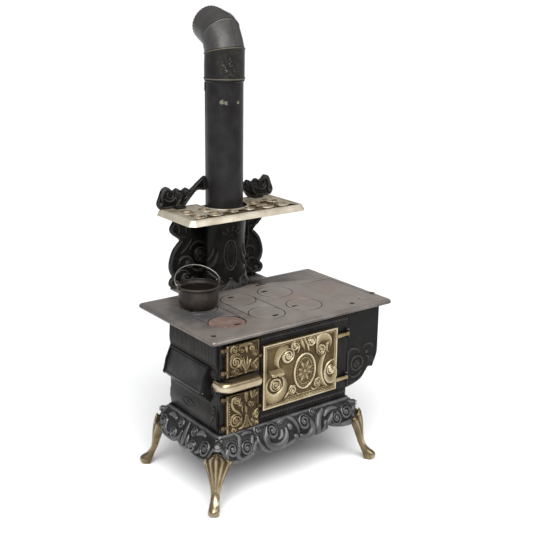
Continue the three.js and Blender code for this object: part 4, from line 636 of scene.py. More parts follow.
def oven_ornament(r):
    for at, half, tall in ((2.4, 2.4, 2.3), (6.6, 1.4, 1.5), (9.4, 0.7, 0.6)):
        r.fill(band(r.edge, at, half, tall))
    r.volute(-42, 256, 13, 95, 1.45, 1, 4.6, 3.2, [
        (-50, 273, 7.2, 3.4), (-60, 271, 8.2, 3.4), (-68, 259, 6.4, 3.2), (-70, 247, 4.6, 2.8),
        (-65, 237, 2.8, 2.2), (-58, 231, 1, 1.4)], shelving)
    r.stroke([(-61, 268, 1, 1.6), (-66, 256, 1.5, 1.6), (-65, 246, 1.2, 1.5), (-60, 239, 0.7, 1.2)])
    r.volute(-26, 273, 8.6, 20, 1.3, -1, 3.4, 3, [(-17, 266, 2.8, 2.6), (-19, 257, 1.2, 1.6)])
    r.stroke([(-12, 285, 1.2, 2), (-10, 277, 4, 2.8), (-6, 268, 3.4, 2.8), (-2, 260, 0.8, 1.4)], grooved)
    r.stroke([(-5, 286, 1, 1.8), (-2, 279, 2.6, 2.4), (2, 271, 2.2, 2.2), (4, 264, 0.6, 1.2)])
    r.volute(14, 273, 8.6, 160, 1.3, 1, 3.4, 3, [(5, 266, 2.8, 2.6), (8, 256, 1.2, 1.6)])
    r.volute(38, 251, 9.5, 200, 1.3, -1, 3.6, 2.8, [
        (29, 262, 4.8, 3.2), (34, 274, 8.2, 3.4), (46, 276, 8.6, 3.4), (57, 269, 5.6, 3), (61, 260, 2.6, 2.2),
        (60, 252, 0.9, 1.2)], shelving)
    r.stroke([(57, 262, 3, 2.2), (52, 255, 3.2, 2.4), (53, 247, 2.4, 2.2), (58, 241, 1.2, 1.4)], grooved)
    r.stroke([(51, 243, 1, 1.8), (43, 236, 4.4, 2.8), (37, 220, 5.4, 3), (37, 200, 5.2, 3),
              (43, 183, 4.6, 2.8), (54, 171, 2.4, 2.2), (62, 169, 0.9, 1.2)], shelving)
    r.volute(64, 203, 8.8, 90, 1.35, -1, 3.2, 3.2, [
        (73, 203, 4.2, 3.2), (74, 190, 6, 3.4), (66, 181, 7, 3.4), (55, 186, 5.6, 3.2), (50, 199, 4.4, 3),
        (54, 213, 3.2, 2.8), (64, 221, 2.4, 2.4), (74, 222, 1.4, 1.8)], shelving)
    r.lay(spline([(-66, 221, 1.2, 2), (-55, 216, 3, 2.8), (-49, 203, 5.4, 3.2), (-52, 188, 8.4, 3.4),
                  (-64, 178, 10.6, 3.6), (-79, 177, 10.8, 3.6), (-91, 187, 8.2, 3.4), (-96, 201, 4.8, 3),
                  (-91, 214, 2.4, 2.4), (-83, 220, 1, 1.6)])[::-1], shelving)
    r.volute(-71, 204, 12, -50, 1.6, 1, 4.2, 3.2, [(-60, 202, 3.8, 3), (-63, 213, 2.4, 2.4)])
    r.volute(-31, 183, 8, 150, 1.25, -1, 2.8, 2.4, [(-33, 192, 2.2, 2.2), (-24, 191, 1.4, 1.8)])
    r.stroke([(-39, 182, 1.4, 1.8), (-44, 176, 2.2, 2), (-50, 171, 0.8, 1.2)])
    r.volute(31, 184, 8, 30, 1.25, 1, 2.8, 2.4, [(34, 193, 2.2, 2.2), (25, 191, 1.4, 1.8)])
    r.stroke([(16, 178, 0.8, 1.4), (20, 173, 1.8, 1.8), (28, 173, 1.4, 1.6), (38, 176, 0.8, 1.2)])
    r.stroke([(-20, 176, 0.8, 1.4), (-16, 172, 1.6, 1.6), (-10, 172, 0.8, 1.2)])
    r.lay(bead_row(-49, 170.6, 52, 170.6, 90, 1, 1.5))
    r.lay(bead_row(-49, 163.8, 74, 163.8, 110, 1, 1.5))
    r.beads(bead_row(-47, 167.2, 72, 167.2, 31, 1.5, 1.7))
    rosette(r, -1, 216, 25, 35)


def oven_lip():
    """The shell-shaped lip that opens the oven door, sloping down from its root."""
    root, level, slope, ease = -125.2, 235.4, 0.42, 1.6
    outline = spline([(-87, root), (-87.6, -132), (-86, -137.6), (-80, -138.6), (-73, -137.2), (-66, -138.6),
                      (-59.5, -138), (-57, -133), (-57.5, root)])
    r = Relief(steps(-89, -56, 0.7), steps(-139.2, root, 0.7), outline)
    face = level - slope * (root - r.v)
    eased = np.clip(r.edge, 0, ease) / ease
    r.h = face - 1.4 * (1 - np.sqrt(np.clip(1 - (1 - eased) ** 2, 0, 1)))
    # The lip's raised tone is a painted highlight.
    return toned(r.plate(face - 4.2, facing_up), 0.75)


def oven_door():
    x0, x1, z0, z1 = -101, 79, 158, 288
    r = Relief(steps(x0, x1, 0.9), steps(z0, z1, 0.9), rectangle(x0, x1, z0, z1))
    oven_ornament(r)
    parts = [r.plate(-DOOR_DEPTH, facing_front(DOOR_FACE), r.tone(DOOR_TONE)), oven_lip()]
    for z in (177, 269):
        parts.append(bar(x1 - 2, 103.4, *ARM_Y, z, 4.2, 3.3))
        barrel = [(1.8, z - 3.5), (3.1, z - 3.5), (3.6, z - 3), (3.6, z + 3), (3.1, z + 3.5), (1.8, z + 3.5)]
        parts.append(toned(turned(barrel, 106.4, HINGE_Y, 32), 0.25))
    cast("oven_door_casting", NICKEL, "oven_door", *parts)


def small_door(name, z0, z1, levels, ornament, tab):
    x0, x1 = -183, -110
    r = Relief(steps(x0, x1, 0.7), steps(z0, z1, 0.7), rectangle(x0, x1, z0, z1))
    r.fill(band(r.edge, 1.4, 1.4, 1))
    r.lay(bead_row(x0 + 2.6, z0, x0 + 2.6, z1, 90, 2.4, 2.2))
    ornament(r)
    parts = [r.plate(-DOOR_DEPTH, facing_front(DOOR_FACE), r.tone(DOOR_TONE)),
             bar(x1 - 3, x1 + 4.6, -128.6, -125.2, tab, 3.4, 2.6)]
    for z in levels:
        parts.append(bar(x0 + 2, -187, *ARM_Y, z, 3.8, 3.3))
        barrel = [(0, z - 8.2), (1.5, z - 8.2), (1.5, z - 3.6), (3.1, z - 3.6), (3.6, z - 3.1), (3.6, z + 3),
                  (3.1, z + 3.5), (0, z + 3.5)]
        parts.append(toned(turned(barrel, -189.7, HINGE_Y, 32), 0.25))
    cast(name + "_casting", BROWN_NICKEL, name, *parts)


def fire_ornament(r):
    r.volute(-166, 295, 7.6, -20, 1.3, 1, 2.8, 2.8, [(-158, 300, 1.8, 2)])
    r.stroke([(-155, 292, 1.6, 2), (-153, 299, 3.2, 2.8), (-143, 301, 4.4, 3.2), (-132, 301, 3.4, 2.8),
              (-125, 297, 1.4, 1.8)])
    r.stroke([(-141, 300, 5, 3.2), (-139, 291, 3, 2.8), (-138, 284, 0.9, 1.4)])
    r.volute(-148, 291, 4.2, 60, 1.1, -1, 1.8, 2.2)
    r.volute(-126, 292, 5.4, 120, 1.2, 1, 2, 2.4, [(-131, 297, 1.6, 1.8)])
    r.volute(-162, 271, 12, 60, 1.55, -1, 4.2, 3.2, [(-151, 271, 4.4, 3), (-152, 261, 2.4, 2.4)])
    r.stroke([(-174, 280, 1.2, 1.6), (-168, 286, 2.2, 2.2), (-158, 286, 1.8, 2), (-149, 281, 0.8, 1.4)])
    r.volute(-163, 251, 7.2, 170, 1.35, -1, 2.8, 2.8, [
        (-160, 260, 2.4, 2.4), (-151, 257, 1.6, 1.8), (-146, 250, 0.8, 1.2)])
    for dx, top, lean in ((-10, 268, 2.4), (-4, 276, 2.8), (3, 277, 2.6), (10, 270, 2.4)):
        r.stroke([(-140, 248, 2.2, 2.8), (-140 + dx * 0.45, 257, lean, 3), (-140 + dx * 0.9, 266, lean, 2.6),
                  (-140 + dx * 1.25, top, 0.8, 1.4)])
    r.lay([(-140, 247.5, 4, 3.2)])
    r.volute(-120, 256, 7, 170, 1.35, -1, 2.8, 2.8, [(-118, 264, 2.2, 2.2), (-113, 268, 1.2, 1.6)])
    r.volute(-120, 280, 6.4, 200, 1.2, -1, 2.2, 2.2, [(-121, 288, 1.4, 1.6)])
    r.stroke([(-181, 248, 1, 1.4), (-172, 245.6, 1.6, 1.8), (-156, 246, 1.8, 2), (-147, 246.5, 1.2, 1.6)])
    r.stroke([(-133, 247, 1.2, 1.6), (-125, 247, 1.6, 1.8), (-113, 248, 1, 1.4)])


def ash_ornament(r):
    r.volute(-159, 196, 7, 100, 1.3, 1, 2.6, 2.8, [
        (-168, 200, 3, 2.8), (-171, 190, 3.2, 2.8), (-166, 179, 3.4, 2.8), (-157, 171, 3, 2.6),
        (-150, 164, 1.6, 2)])
    r.volute(-162, 156, 12, 60, 1.5, -1, 4, 3.2, [(-151, 158, 4, 3), (-151, 147, 2.6, 2.4)])
    r.volute(-166, 139, 5.4, 120, 1.2, 1, 2.2, 2.6)
    r.volute(-153, 186, 4.6, 200, 1.1, -1, 1.8, 2.2)
    r.stroke([(-139, 204, 5, 3.4), (-139, 197, 4.4, 3.2), (-138.5, 188, 1.4, 1.8)])
    r.stroke([(-140, 179, 1.4, 1.8), (-139, 172, 3.6, 2.8), (-138, 163, 1, 1.6)])
    for lean in (-22, 8, 40):
        r.petal(-127, 192, 55 + lean, 1, 17, 3.6, 3.2)
    r.volute(-127, 182, 6.2, 130, 1.2, 1, 2.4, 2.6, [(-134, 184, 1.2, 1.6)])
    for dx, half in ((-7, 2.2), (0, 3.6), (7, 2.2)):
        r.stroke([(-138 + dx * 0.3, 161, half * 0.7, 2.6), (-138 + dx * 0.5, 151, half, 3),
                  (-138 + dx * 1.1, 142, half * 1.2, 3), (-138 + dx * 1.7, 137, half * 0.8, 2.4)])
    r.stroke([(-154, 137, 1.4, 2.2), (-146, 139, 2.4, 2.6), (-138, 138, 3, 2.8), (-130, 141, 2.4, 2.6),
              (-122, 141, 1.2, 1.8)])
    r.volute(-118, 156, 6.4, 160, 1.3, -1, 2.6, 2.8, [(-117, 164, 2, 2.2), (-112, 168, 1, 1.6)])
    r.volute(-124, 146, 4.4, 30, 1.15, 1, 1.9, 2.4)
    r.volute(-115, 141, 4.2, 120, 1.15, 1, 1.8, 2.2)
    r.stroke([(-146, 184, 0.8, 1.2), (-148, 176, 1.6, 1.8), (-146, 167, 1, 1.4)])
    r.beads(bead_row(-176.2, 152, -176.2, 192, 9, 2, 2.2))


# The back with its flue casing, and the shelf
SPLAT_SHARES = [(0.86, 0), (0.95, 0.012), (1, 0.05), (0.985, 0.11), (0.935, 0.15), (0.97, 0.2), (0.995, 0.28),
                (0.975, 0.38), (0.91, 0.49), (0.82, 0.565), (0.775, 0.595), (0.82, 0.635), (0.89, 0.67),
                (0.955, 0.72), (0.965, 0.775), (0.91, 0.84), (0.86, 0.9), (0.84, 1)]
CASING_SHARES = [(0, 1.16, 1.25), (0.12, 1, 1.06), (0.4, 0.93, 0.95), (0.7, 0.92, 0.95), (0.93, 0.9, 1.2),
                 (1, 0.87, 1.26)]
CASTING_FRONT = 170.4
MM_PER_DEGREE = 0.7


def flue_casing():
    """The round casing under the pipe, with its ornament wrapped round the side turned to the camera."""
    tall, half, deep = 141.7, 50, 34
    curve = spline([(up * tall, across * half, back * deep) for up, across, back in CASING_SHARES], 3)
    angles = np.radians(np.arange(-270, 90, 1.8))
    levels = np.linspace(0, tall, 112)
    r = Relief(np.degrees(angles) * MM_PER_DEGREE, DECK_TOP + levels)
    front = -98 * MM_PER_DEGREE
    r.ring(front, 391, 12.4, 31.5, 1.6, 1.9)
    r.ring(front, 391, 6.8, 24.5, 1.2, 1.4)
    for turn, reach in ((-119, 315), (-111, 314), (-103, 313), (-95, 313), (-87, 313), (-79, 315),
                        (-71, 319)):
        u = turn * MM_PER_DEGREE
        r.stroke([(front, 340, 1.2, 1.4), ((u + front) / 2, 330, 2, 2.2), (u, reach + 8, 2.9, 2.4)])
    r.lay([(-69, 342, 3.2, 3)])
    for rows, profile in (
            ([(-121, 378, 1.2, 1.6), (-115, 383, 3, 2.6), (-106, 394, 3.2, 2.6), (-102, 409, 1.2, 1.4)],
             rounded),
            ([(-122, 363, 2.2, 2.2), (-113, 366, 4.4, 3), (-100, 379, 4.4, 3), (-93, 400, 1.4, 1.8)],
             grooved),
            ([(-118, 358, 1.4, 1.8), (-104, 349, 2.2, 2.2), (-92, 342, 2, 2), (-84, 335, 1, 1.4)], rounded)):
        r.both(rows, front, profile)
    for lean in (30, 60, 90, 120, 150):
        a = math.radians(lean)
        reach = 17 + 4 * math.sin(a)
        r.lay([(front + reach * t * math.cos(a), 430 + reach * t * math.sin(a), 0.8 + 2.2 * t, 0.8 + t)
               for t in (0.25, 0.7, 1)])
    r.volute(-44, 330, 9, 60, 1.25, -1, 2.6, 2.8, [(-34, 336, 1.8, 2)])
    across = np.interp(levels, curve[:, 0], curve[:, 1])
    back = np.interp(levels, curve[:, 0], curve[:, 2])

    def ring(j, heights):
        return [(MIDDLE + (across[j] + h) * math.cos(a), PIPE_Y + (back[j] + h) * math.sin(a),
                 DECK_TOP + levels[j]) for a, h in zip(angles, heights)]

    # The inside of the casing is toned darker as painted shade.
    inner = [ring(j, [-4] * len(angles)) for j in (111, 100, 70, 45, 20, 8, 0)]
    rings = [ring(j, r.h[:, j]) for j in range(len(levels))] + inner
    return *skin(rings, True), [*r.tone().T.ravel(), *[-0.6] * len(angles) * len(inner)]


def bracket(x):
    profile = [(171, 487.2), (74.4, 487.2), (74.4, 484), (77, 483)]
    profile += [(77 + 94 * t, 483 - 29.8 * t ** 2.6) for t in np.linspace(0.15, 1, 14)]
    return skin([[(x + dx, y, z) for y, z in profile] for dx in (-2, 2)])


def back_splat():
    half, tall = 118, 164.9
    right = [(MIDDLE + half * a, DECK_TOP + tall * b) for a, b in SPLAT_SHARES]
    outline = spline(right + [(2 * MIDDLE - x, z) for x, z in right][::-1], 2, True)
    outline[:, 1] = np.clip(outline[:, 1], DECK_TOP, DECK_TOP + tall)
    r = Relief(steps(MIDDLE - 119.5, MIDDLE + 119.5, 1.25), steps(DECK_TOP, DECK_TOP + tall, 1.25), outline)
    r.fill(band(r.edge, 3.6, 4, 3.4) * smooth_step(DECK_TOP + tall - r.v, 0, 12))
    r.fill(band(r.edge, 10.5, 1.4, 1) * (r.v > DECK_TOP + 20))
    for rows, profile in (
            ([(-73, 395, 0.9, 1.6), (-66, 406, 2.6, 2.8), (-53, 413, 3.6, 3.4), (-39, 410, 3.4, 3.2),
              (-27, 398, 1.6, 2.2)], shelving),
            ([(-99, 371, 1, 1.8), (-94, 381, 2.8, 2.8), (-84, 386, 3.4, 3), (-71, 382, 2.8, 2.8),
              (-62, 369, 1.4, 2)], rounded),
            ([(-93, 393, 0.8, 1.6), (-83, 401, 1.8, 2.6), (-73, 411, 2, 2.6), (-66, 422, 0.9, 1.6)], rounded),
            ([(-104, 352, 1, 1.8), (-94, 358, 2.4, 2.6), (-82, 356, 2.4, 2.6), (-72, 349, 1.2, 1.8)],
             rounded),
            ([(-79, 436, 1.6, 2.4), (-80, 446, 2.2, 2.6), (-80, 462, 2.2, 2.6), (-79, 478, 1.4, 2)], rounded),
            ([(-98, 436, 1.2, 2), (-96, 446, 2.6, 3), (-101, 457, 2.8, 3), (-107, 463, 1.4, 2)], rounded),
            ([(-66, 360, 1, 1.8), (-58, 353, 3, 3), (-44, 352, 4.8, 3.4), (-28, 357, 4, 3)], grooved)):
        r.both(rows, MIDDLE, profile)
    for axis in (None, MIDDLE):
        r.axis = axis
        r.volute(-46, 388, 12.5, 200, 1.35, 1, 4, 3.6, [
            (-55, 378, 4, 3.6), (-42, 369.5, 5, 3.8), (-27, 371, 4.8, 3.6), (-16, 382, 3.4, 2.8),
            (-12, 396, 1.4, 1.8)], shelving)
        r.volute(-73, 369, 8.5, 40, 1.25, -1, 2.8, 3.2)
        r.volute(-84, 337, 9.5, 120, 1.3, -1, 3, 3.2, [(-82, 350, 2.2, 2.6), (-70, 346, 1.2, 1.8)])
        r.volute(-61, 332, 8, 60, 1.25, 1, 2.6, 3)
        r.lay([(-103, 334, 5.6, 4.2)])
        r.volute(-89, 428, 6.4, 220, 1.2, 1, 2.2, 2.8)
    r.axis = None
    r.stroke([(74, 436, 1.6, 2.6), (74, 410, 2.4, 3.4), (71, 390, 2.6, 3.2), (68, 374, 1.8, 2.6),
              (74, 361, 3, 3.4), (74, 342, 1.4, 2.2)])
    parts = [r.plate(-4.8, facing_front(CASTING_FRONT)), flue_casing()]
    for side in (-1, 1):
        foot, pad = MIDDLE + side * 84, MIDDLE + side * 96
        parts.append(block(foot - 7, foot + 7, 156.4, 171.5, DECK_TOP, DECK_TOP + 4, 0.9))
        parts.append(bracket(MIDDLE + side * 86))
        parts.append(block(pad - 17.6, pad + 11, 154.4, 171.5, 483.2, 487.2, 0.8))
    cast("splat_casting", IRON, "back_splat", *parts)


CREST_TOP = [(0.2, 1), (0.33, 0.82), (0.46, 0.58), (0.53, 0.66), (0.61, 0.58), (0.68, 0.68), (0.76, 0.61),
             (0.84, 0.77), (0.92, 0.69), (0.97, 0.42), (1, 0.2), (0.97, 0.04)]
CREST_LOW = [(0.94, 0), (0.8, 0), (0.68, 0), (0.56, 0), (0.46, 0.28), (0.34, 0.52), (0.2, 0.52)]


def crest_arm(side):
    """The crest's left arm, or its mirror image."""
    low, tall, near, far = 491.8, 57, 28.6, 143
    line = spline([(MIDDLE + side * far * a, low + tall * b) for a, b in CREST_TOP + CREST_LOW], 1.2, True)
    line[:, 1] = np.clip(line[:, 1], low, low + tall)
    line[:, 0] = np.where(side * (line[:, 0] - MIDDLE) < near, MIDDLE + side * near, line[:, 0])
    x0, x1 = sorted((MIDDLE + side * 28, MIDDLE + side * 144))
    r = Relief(steps(x0, x1, 0.85), steps(low, low + 57.2, 0.85), line)
    r.fill(band(r.edge, 2.4, 2.4, 1.8))
    r.axis = MIDDLE if side > 0 else None
    r.stroke([(-134, 506, 1.6, 2.4), (-135, 519, 4, 4.2), (-129, 530, 5, 5), (-118, 531, 4.6, 5),
              (-110, 525, 3, 4)])
    r.stroke([(-128, 512, 1.6, 2.4), (-121, 506.5, 2.4, 3.2), (-111, 507, 2.6, 3.4), (-104, 512, 1.6, 2.4)])
    r.ring(-116, 519, 7.6, 7.6, 1.5, 2.4, 50)
    r.volute(-95.5, 519, 8.2, 200, 1.2, 1, 3.2, 4.2, [(-102, 512, 2.2, 3), (-101, 506, 1.2, 2)])
    r.stroke([(-91, 512, 1.2, 2.2), (-94, 505, 2.8, 3.4), (-99, 498, 2.2, 3), (-103, 495, 1, 1.8)])
    r.volute(-77.5, 521.5, 6.6, 100, 1.15, 1, 2.2, 3.6)
    r.lay([(-137.6, 501.5, 5, 4.4)])
    r.stroke([(-81, 507, 1.2, 1.6), (-66, 520, 2.6, 2.4), (-52, 533, 3, 2.6), (-38, 543, 2.6, 2.4)])
    r.stroke([(-84, 498, 1.2, 1.6), (-72, 505, 2, 2), (-60, 516, 1.6, 1.8)])
    return r.plate(-4.4, facing_front(CASTING_FRONT))


def shelf_crest():
    parts = [crest_arm(-1), crest_arm(1)]
    angles = np.radians(np.linspace(38.8, 141.2, 44))
    section = [(38.35, 524), (42, 524), (42.3, 524.6), (42.3, 542.5), (42, 543.1), (38.35, 543.1)]
    parts.append(skin([[(MIDDLE + r * math.cos(a), PIPE_Y + r * math.sin(a), z) for r, z in section]
                       for a in angles]))
    for x in (MIDDLE - 96, MIDDLE + 96):
        parts.append(block(x - 11, x + 11, 154.4, 171.2, 491.8, 495.8, 0.9))
    cast("crest_casting", IRON, "shelf_crest", *parts)


SHELF_TOP = 491.5
SHELF_LEFT, SHELF_RIGHT, SHELF_FRONT, SHELF_BACK = -137, 131, 54, 175.2


def shelf_edge(grow):
    """The shelf's left, front and right edge with its cut corners, grown outwards."""
    corner = 6.5 - grow * (math.sqrt(2) - 1)
    turns = np.array([(SHELF_LEFT - grow, SHELF_BACK), (SHELF_LEFT - grow, SHELF_FRONT + corner),
                      (SHELF_LEFT + corner, SHELF_FRONT - grow), (SHELF_RIGHT - corner, SHELF_FRONT - grow),
                      (SHELF_RIGHT + grow, SHELF_FRONT + corner), (SHELF_RIGHT + grow, SHELF_BACK)])
    line = [tuple(turns[0])]
    for a, b, c in zip(turns, turns[1:], turns[2:]):
        p, q = (b + (end - b) / np.linalg.norm(end - b) * 1.6 for end in (a, c))
        line += [tuple((1 - t) ** 2 * p + 2 * t * (1 - t) * b + t * t * q) for t in np.linspace(0, 1, 5)]
    return line + [tuple(turns[-1])]


def shelf_plate_edge(inset):
    """The shelf's whole outline, with the notch for the pipe in its back."""
    reach = 46 + inset
    notch = arc(MIDDLE, PIPE_Y, reach, reach, np.linspace(HALF_TURN, FULL_TURN, 40))
    return [*shelf_edge(-inset)[::-1], (notch[0][0], SHELF_BACK), *notch, (notch[-1][0], SHELF_BACK)]


def comma(cx, cy, r, turn, start):
    """The outline of a comma-shaped opening, by how far it is grown."""
    def line(grow):
        sides = ([], [])
        for t in np.linspace(0, 1, 15):
            angle = math.radians(start + turn * (12 + 140 * t))
            half = r * 0.3 * math.sin(math.pi * (0.12 + 0.8 * t) ** 0.8) + r * 0.04 + grow
            for side, reach in zip(sides, (r * 0.66 + half, r * 0.66 - half)):
                side.append((cx + reach * math.cos(angle), cy + reach * math.sin(angle)))
        ring = sides[0] + sides[1][::-1]
        return ring[::-1] if turn > 0 else ring
    return line


def high_shelf():
    face, low, floor = SHELF_TOP, SHELF_TOP - 4, SHELF_TOP - 1
    # The tones paint the shelf's raised rims lighter as painted highlights, and its steps and opening walls
    # darker as painted shade.
    loops = [(shelf_plate_edge, [(low, 1, -0.5), (face - 0.5, 0.1, 0.4), (face, 0.7, 0.4), (face, 4.2, 0.4),
                                 (floor, 5, -0.55), (floor, 6.4, 0.12)])]
    opening = [(low, 0, -1), (face - 0.6, 0, -0.9), (face - 0.1, 0.4, 0.1), (face, 0.8, 0.4),
               (face, 1.7, 0.4), (floor, 2.2, -0.5), (floor, 2.6, 0.12)]
    x0, x1, y0, y1 = -125, 119, 66, 146.4
    wide, deep = (x1 - x0) / 6, (y1 - y0) / 2
    for i in range(6):
        for j in range(2):
            cx, cy = x0 + (i + 0.5) * wide, y0 + (j + 0.5) * deep
            size = min(min(wide, deep) * 0.42, (math.hypot(cx - MIDDLE, cy - PIPE_Y) - 49) / 1.1)
            if size >= 9:
                turn = 1 if (i + j) % 2 else -1
                loops += [(comma(cx, cy, size, turn, start), opening) for start in (0, 180)]
    section = [(0.5, 491.1), (1.4, 490.2), (2.6, 488.2), (4.2, 485.2), (5.6, 482.6), (6.7, 480.4), (7, 479.9),
               (6.6, 479.5), (4.2, 479.5), (3.4, 480.6), (1.6, 484.3), (-0.6, 487.2), (-2.2, 488.6),
               (-2.2, 490.6)]
    edges = [[(*p, z) for p in shelf_edge(grow)] for grow, z in section]
    rings = list(zip(*edges))
    # The rolled edge is toned lighter on top and darker underneath: painted light and shade.
    tones = [0.35 if k < 7 else -0.4 for _ in rings for k in range(len(section))]
    cast("shelf_casting", PALE_NICKEL, "high_shelf", stepped_plate(*loops), (*skin(rings), tones))


# The base
FRONT_LOBES = [[(0, 0.42), (0.015, 0.45), (0.03, 0.52), (0.045, 0.68), (0.06, 0.8)],
               [(0.06, 0.8), (0.096, 0.926), (0.15, 0.96), (0.22, 0.889), (0.25, 0.74), (0.266, 0.574)],
               [(0.266, 0.574), (0.29, 0.78), (0.32, 0.9), (0.355, 0.944), (0.467, 0.944), (0.522, 0.87)],
               [(0.522, 0.87), (0.56, 0.9), (0.637, 0.88), (0.7, 0.88), (0.735, 0.81), (0.752, 0.63)],
               [(0.752, 0.63), (0.77, 0.76), (0.798, 0.833), (0.86, 0.92), (0.922, 0.926), (0.95, 0.85)],
               [(0.95, 0.85), (0.96, 0.7), (0.97, 0.55), (0.985, 0.46), (1, 0.42)]]
SIDE_HALF = [[(0.5, 0.98), (0.55, 0.94), (0.585, 0.8)],
             [(0.585, 0.8), (0.64, 0.96), (0.74, 1), (0.84, 0.93), (0.9, 0.76)],
             [(0.9, 0.76), (0.94, 0.52), (0.96, 0.47), (1, 0.42)]]
SIDE_LOBES = [[(1 - s, t) for s, t in lobe[::-1]] for lobe in SIDE_HALF[::-1]] + SIDE_HALF
SKIRT_TOP, SKIRT_TALL, SKIRT_REACH = 133, 54, 25
SKIRT_SLOPE = 0.694


def skirt_share(z):
    return np.clip((SKIRT_TOP - z) / SKIRT_TALL, 0, 1)


def skirt_out(z):
    """How far the flared base stands out from the body at a height."""
    return 2 + SKIRT_REACH * (1 - (1 - skirt_share(z)) ** 1.5)


def apron_side(start, end, wall, along_x, lobes, ornament):
    """One side of the flared base, along X by the front and back, or along Y by the ends."""
    lower = []
    for lobe in lobes:
        for s, t in spline([(s * 100, t * 20) for s, t in lobe], 0.5) * (0.01, 0.05):
            z = SKIRT_TOP - SKIRT_TALL * t
            out = float(skirt_out(z))
            lower.append((start - out + s * (end - start + 2 * out), z))
    levels = np.linspace(SKIRT_TOP, 110.4, 12)
    left = [(start - float(skirt_out(z)), z) for z in levels]
    right = [(end + float(skirt_out(z)), z) for z in levels[::-1]]
    r = Relief(steps(start - 27.5, end + 27.5, 1.05), steps(78.9, SKIRT_TOP, 1.05), left + lower + right)
    r.fill(np.where(r.v < 126, band(r.edge, 3.6, 4, 3.2), 0))
    r.fill(band(SKIRT_TOP - r.v, 3.2, 3, 2.2))
    r.fill(0.8)
    ornament(r)
    tone = r.tone()
    out = skirt_out(r.v)
    r.h = r.h * smooth_step(np.minimum(r.u - (start - out), end + out - r.u), 0, 4)

    def place(a, z, h):
        rise = SKIRT_SLOPE * np.sqrt(1 - skirt_share(z))
        size = np.sqrt(1 + rise ** 2)
        b = wall + np.sign(wall) * (skirt_out(z) + h / size)
        level = np.clip(z + h * rise / size, SKIRT_TOP - SKIRT_TALL, SKIRT_TOP)
        return np.stack([a, b, level] if along_x else [b, a, level], 1)

    return r.plate(-4, place, tone)


def front_scrolls(r):
    r.petal(-55, 129, 200, -12, 14, 5.6, 3.6, grooved)
    r.lay([(-42.5, 114, 6.6, 5.2)])
    r.lay([(-33, 94, 6, 4.8)])
    r.stroke([(-42, 130, 2, 3), (-33, 124, 4.4, 4.2), (-26, 112, 4.2, 4), (-25, 100, 2.4, 3.2)])
    r.volute(-84, 116, 10.5, 150, 1.3, 1, 6.4, 5.4, [
        (-99, 108, 7.4, 5), (-99, 96, 7.8, 5.2), (-88, 88.5, 8.2, 5.4), (-73, 87.5, 8, 5.4),
        (-60, 94, 6.6, 5), (-53, 104, 4.4, 4.2), (-52, 113, 2, 3)])
    r.stroke([(-72, 99, 2.4, 3.2), (-65, 103, 3.8, 4), (-62, 111, 3, 3.4)])
    r.stroke([(-119, 114, 2.6, 3.4), (-118, 100, 5.6, 4.8), (-109, 89, 6, 5), (-100, 84, 4, 4)])
    r.volute(-116, 124, 6.4, -20, 1.2, 1, 4, 4.2)
    r.volute(-147, 102, 9.6, 60, 1.3, -1, 5.4, 5, [(-136, 106, 5.2, 4.6), (-129, 117, 3.2, 3.6)])
    r.stroke([(-141, 90, 3, 3.6), (-131, 87, 4.6, 4.4), (-121, 86, 3, 3.6)])
    r.volute(-178, 107, 10.6, 110, 1.3, 1, 5.6, 5.4, [(-192, 100, 5, 4.6), (-192, 88, 3.4, 3.8)])
    r.stroke([(-164, 129, 2.4, 3.2), (-158, 121, 5, 4.4), (-162, 108, 4.6, 4.2), (-169, 94, 5.2, 4.6),
              (-160, 85, 3, 3.6)])
    r.stroke([(-150, 124, 2, 3), (-140, 126, 3.8, 3.8), (-130, 124, 2.4, 3.2)])
    r.volute(-8, 114, 10.5, 20, 1.3, -1, 6.2, 5.4, [
        (8, 108, 6.4, 5.2), (9, 97, 7.2, 5.4), (0, 89, 7.6, 5.4), (-12, 88, 6.4, 4.8), (-21, 93, 3.4, 3.8)])
    r.stroke([(14, 84, 3.4, 3.8), (20, 91, 6, 5), (24, 103, 6.4, 5.2), (31, 115, 6.2, 5), (42, 124, 3.6, 4)])
    r.volute(17, 126, 5.6, 20, 1.15, 1, 3.4, 4)
    r.volute(70, 103, 10.2, 120, 1.3, -1, 5.6, 5.2, [(58, 106, 5.6, 4.8), (48, 99, 5, 4.6), (43, 89, 3, 3.6)])
    r.stroke([(44, 113, 2.4, 3.2), (52, 119, 4.6, 4.4), (63, 122, 4.2, 4.2), (76, 120, 2.4, 3.2)])
    r.volute(97, 109, 10.2, 70, 1.3, -1, 5.6, 5.2, [(110, 104, 5, 4.6), (115, 92, 3.2, 3.8)])
    r.stroke([(78, 90, 3, 3.6), (89, 88, 5.2, 4.6), (103, 90, 4, 4)])


def end_scrolls(r):
    r.volute(45, 101, 11, 150, 1.5, 1, 5.8, 5.2, [(32, 93, 5, 4.6), (20, 88, 3.2, 3.6)])
    r.volute(-102, 103, 11, 30, 1.5, -1, 5.8, 5.2, [(-89, 95, 5, 4.6), (-80, 89, 3.2, 3.6)])
    r.volute(3, 95, 8.4, 40, 1.3, -1, 4.6, 4.8)
    r.volute(-64, 95, 8.4, 140, 1.3, 1, 4.6, 4.8)
    r.volute(-56, 117, 6.4, 200, 1.2, 1, 4, 4.2)
    r.volute(-10, 117, 6.4, -20, 1.2, -1, 4, 4.2)
    r.stroke([(-90, 121, 2.6, 3.4), (-78, 123, 5.2, 4.4), (-68, 117, 3.6, 3.8)])
    r.stroke([(-33, 82, 2.6, 3.6), (-33, 96, 6.4, 5), (-33, 112, 4.2, 4.2), (-33, 125, 2, 3)])
    for foot, top in ((-48, -44), (-18, -22)):
        r.stroke([(foot, 84, 2.4, 3.2), ((foot + top) / 2, 96, 4, 4.2), (top, 106, 2.4, 3.2)])
    r.stroke([(10, 119, 3, 3.6), (22, 122, 5, 4.4), (34, 119, 3, 3.6)])


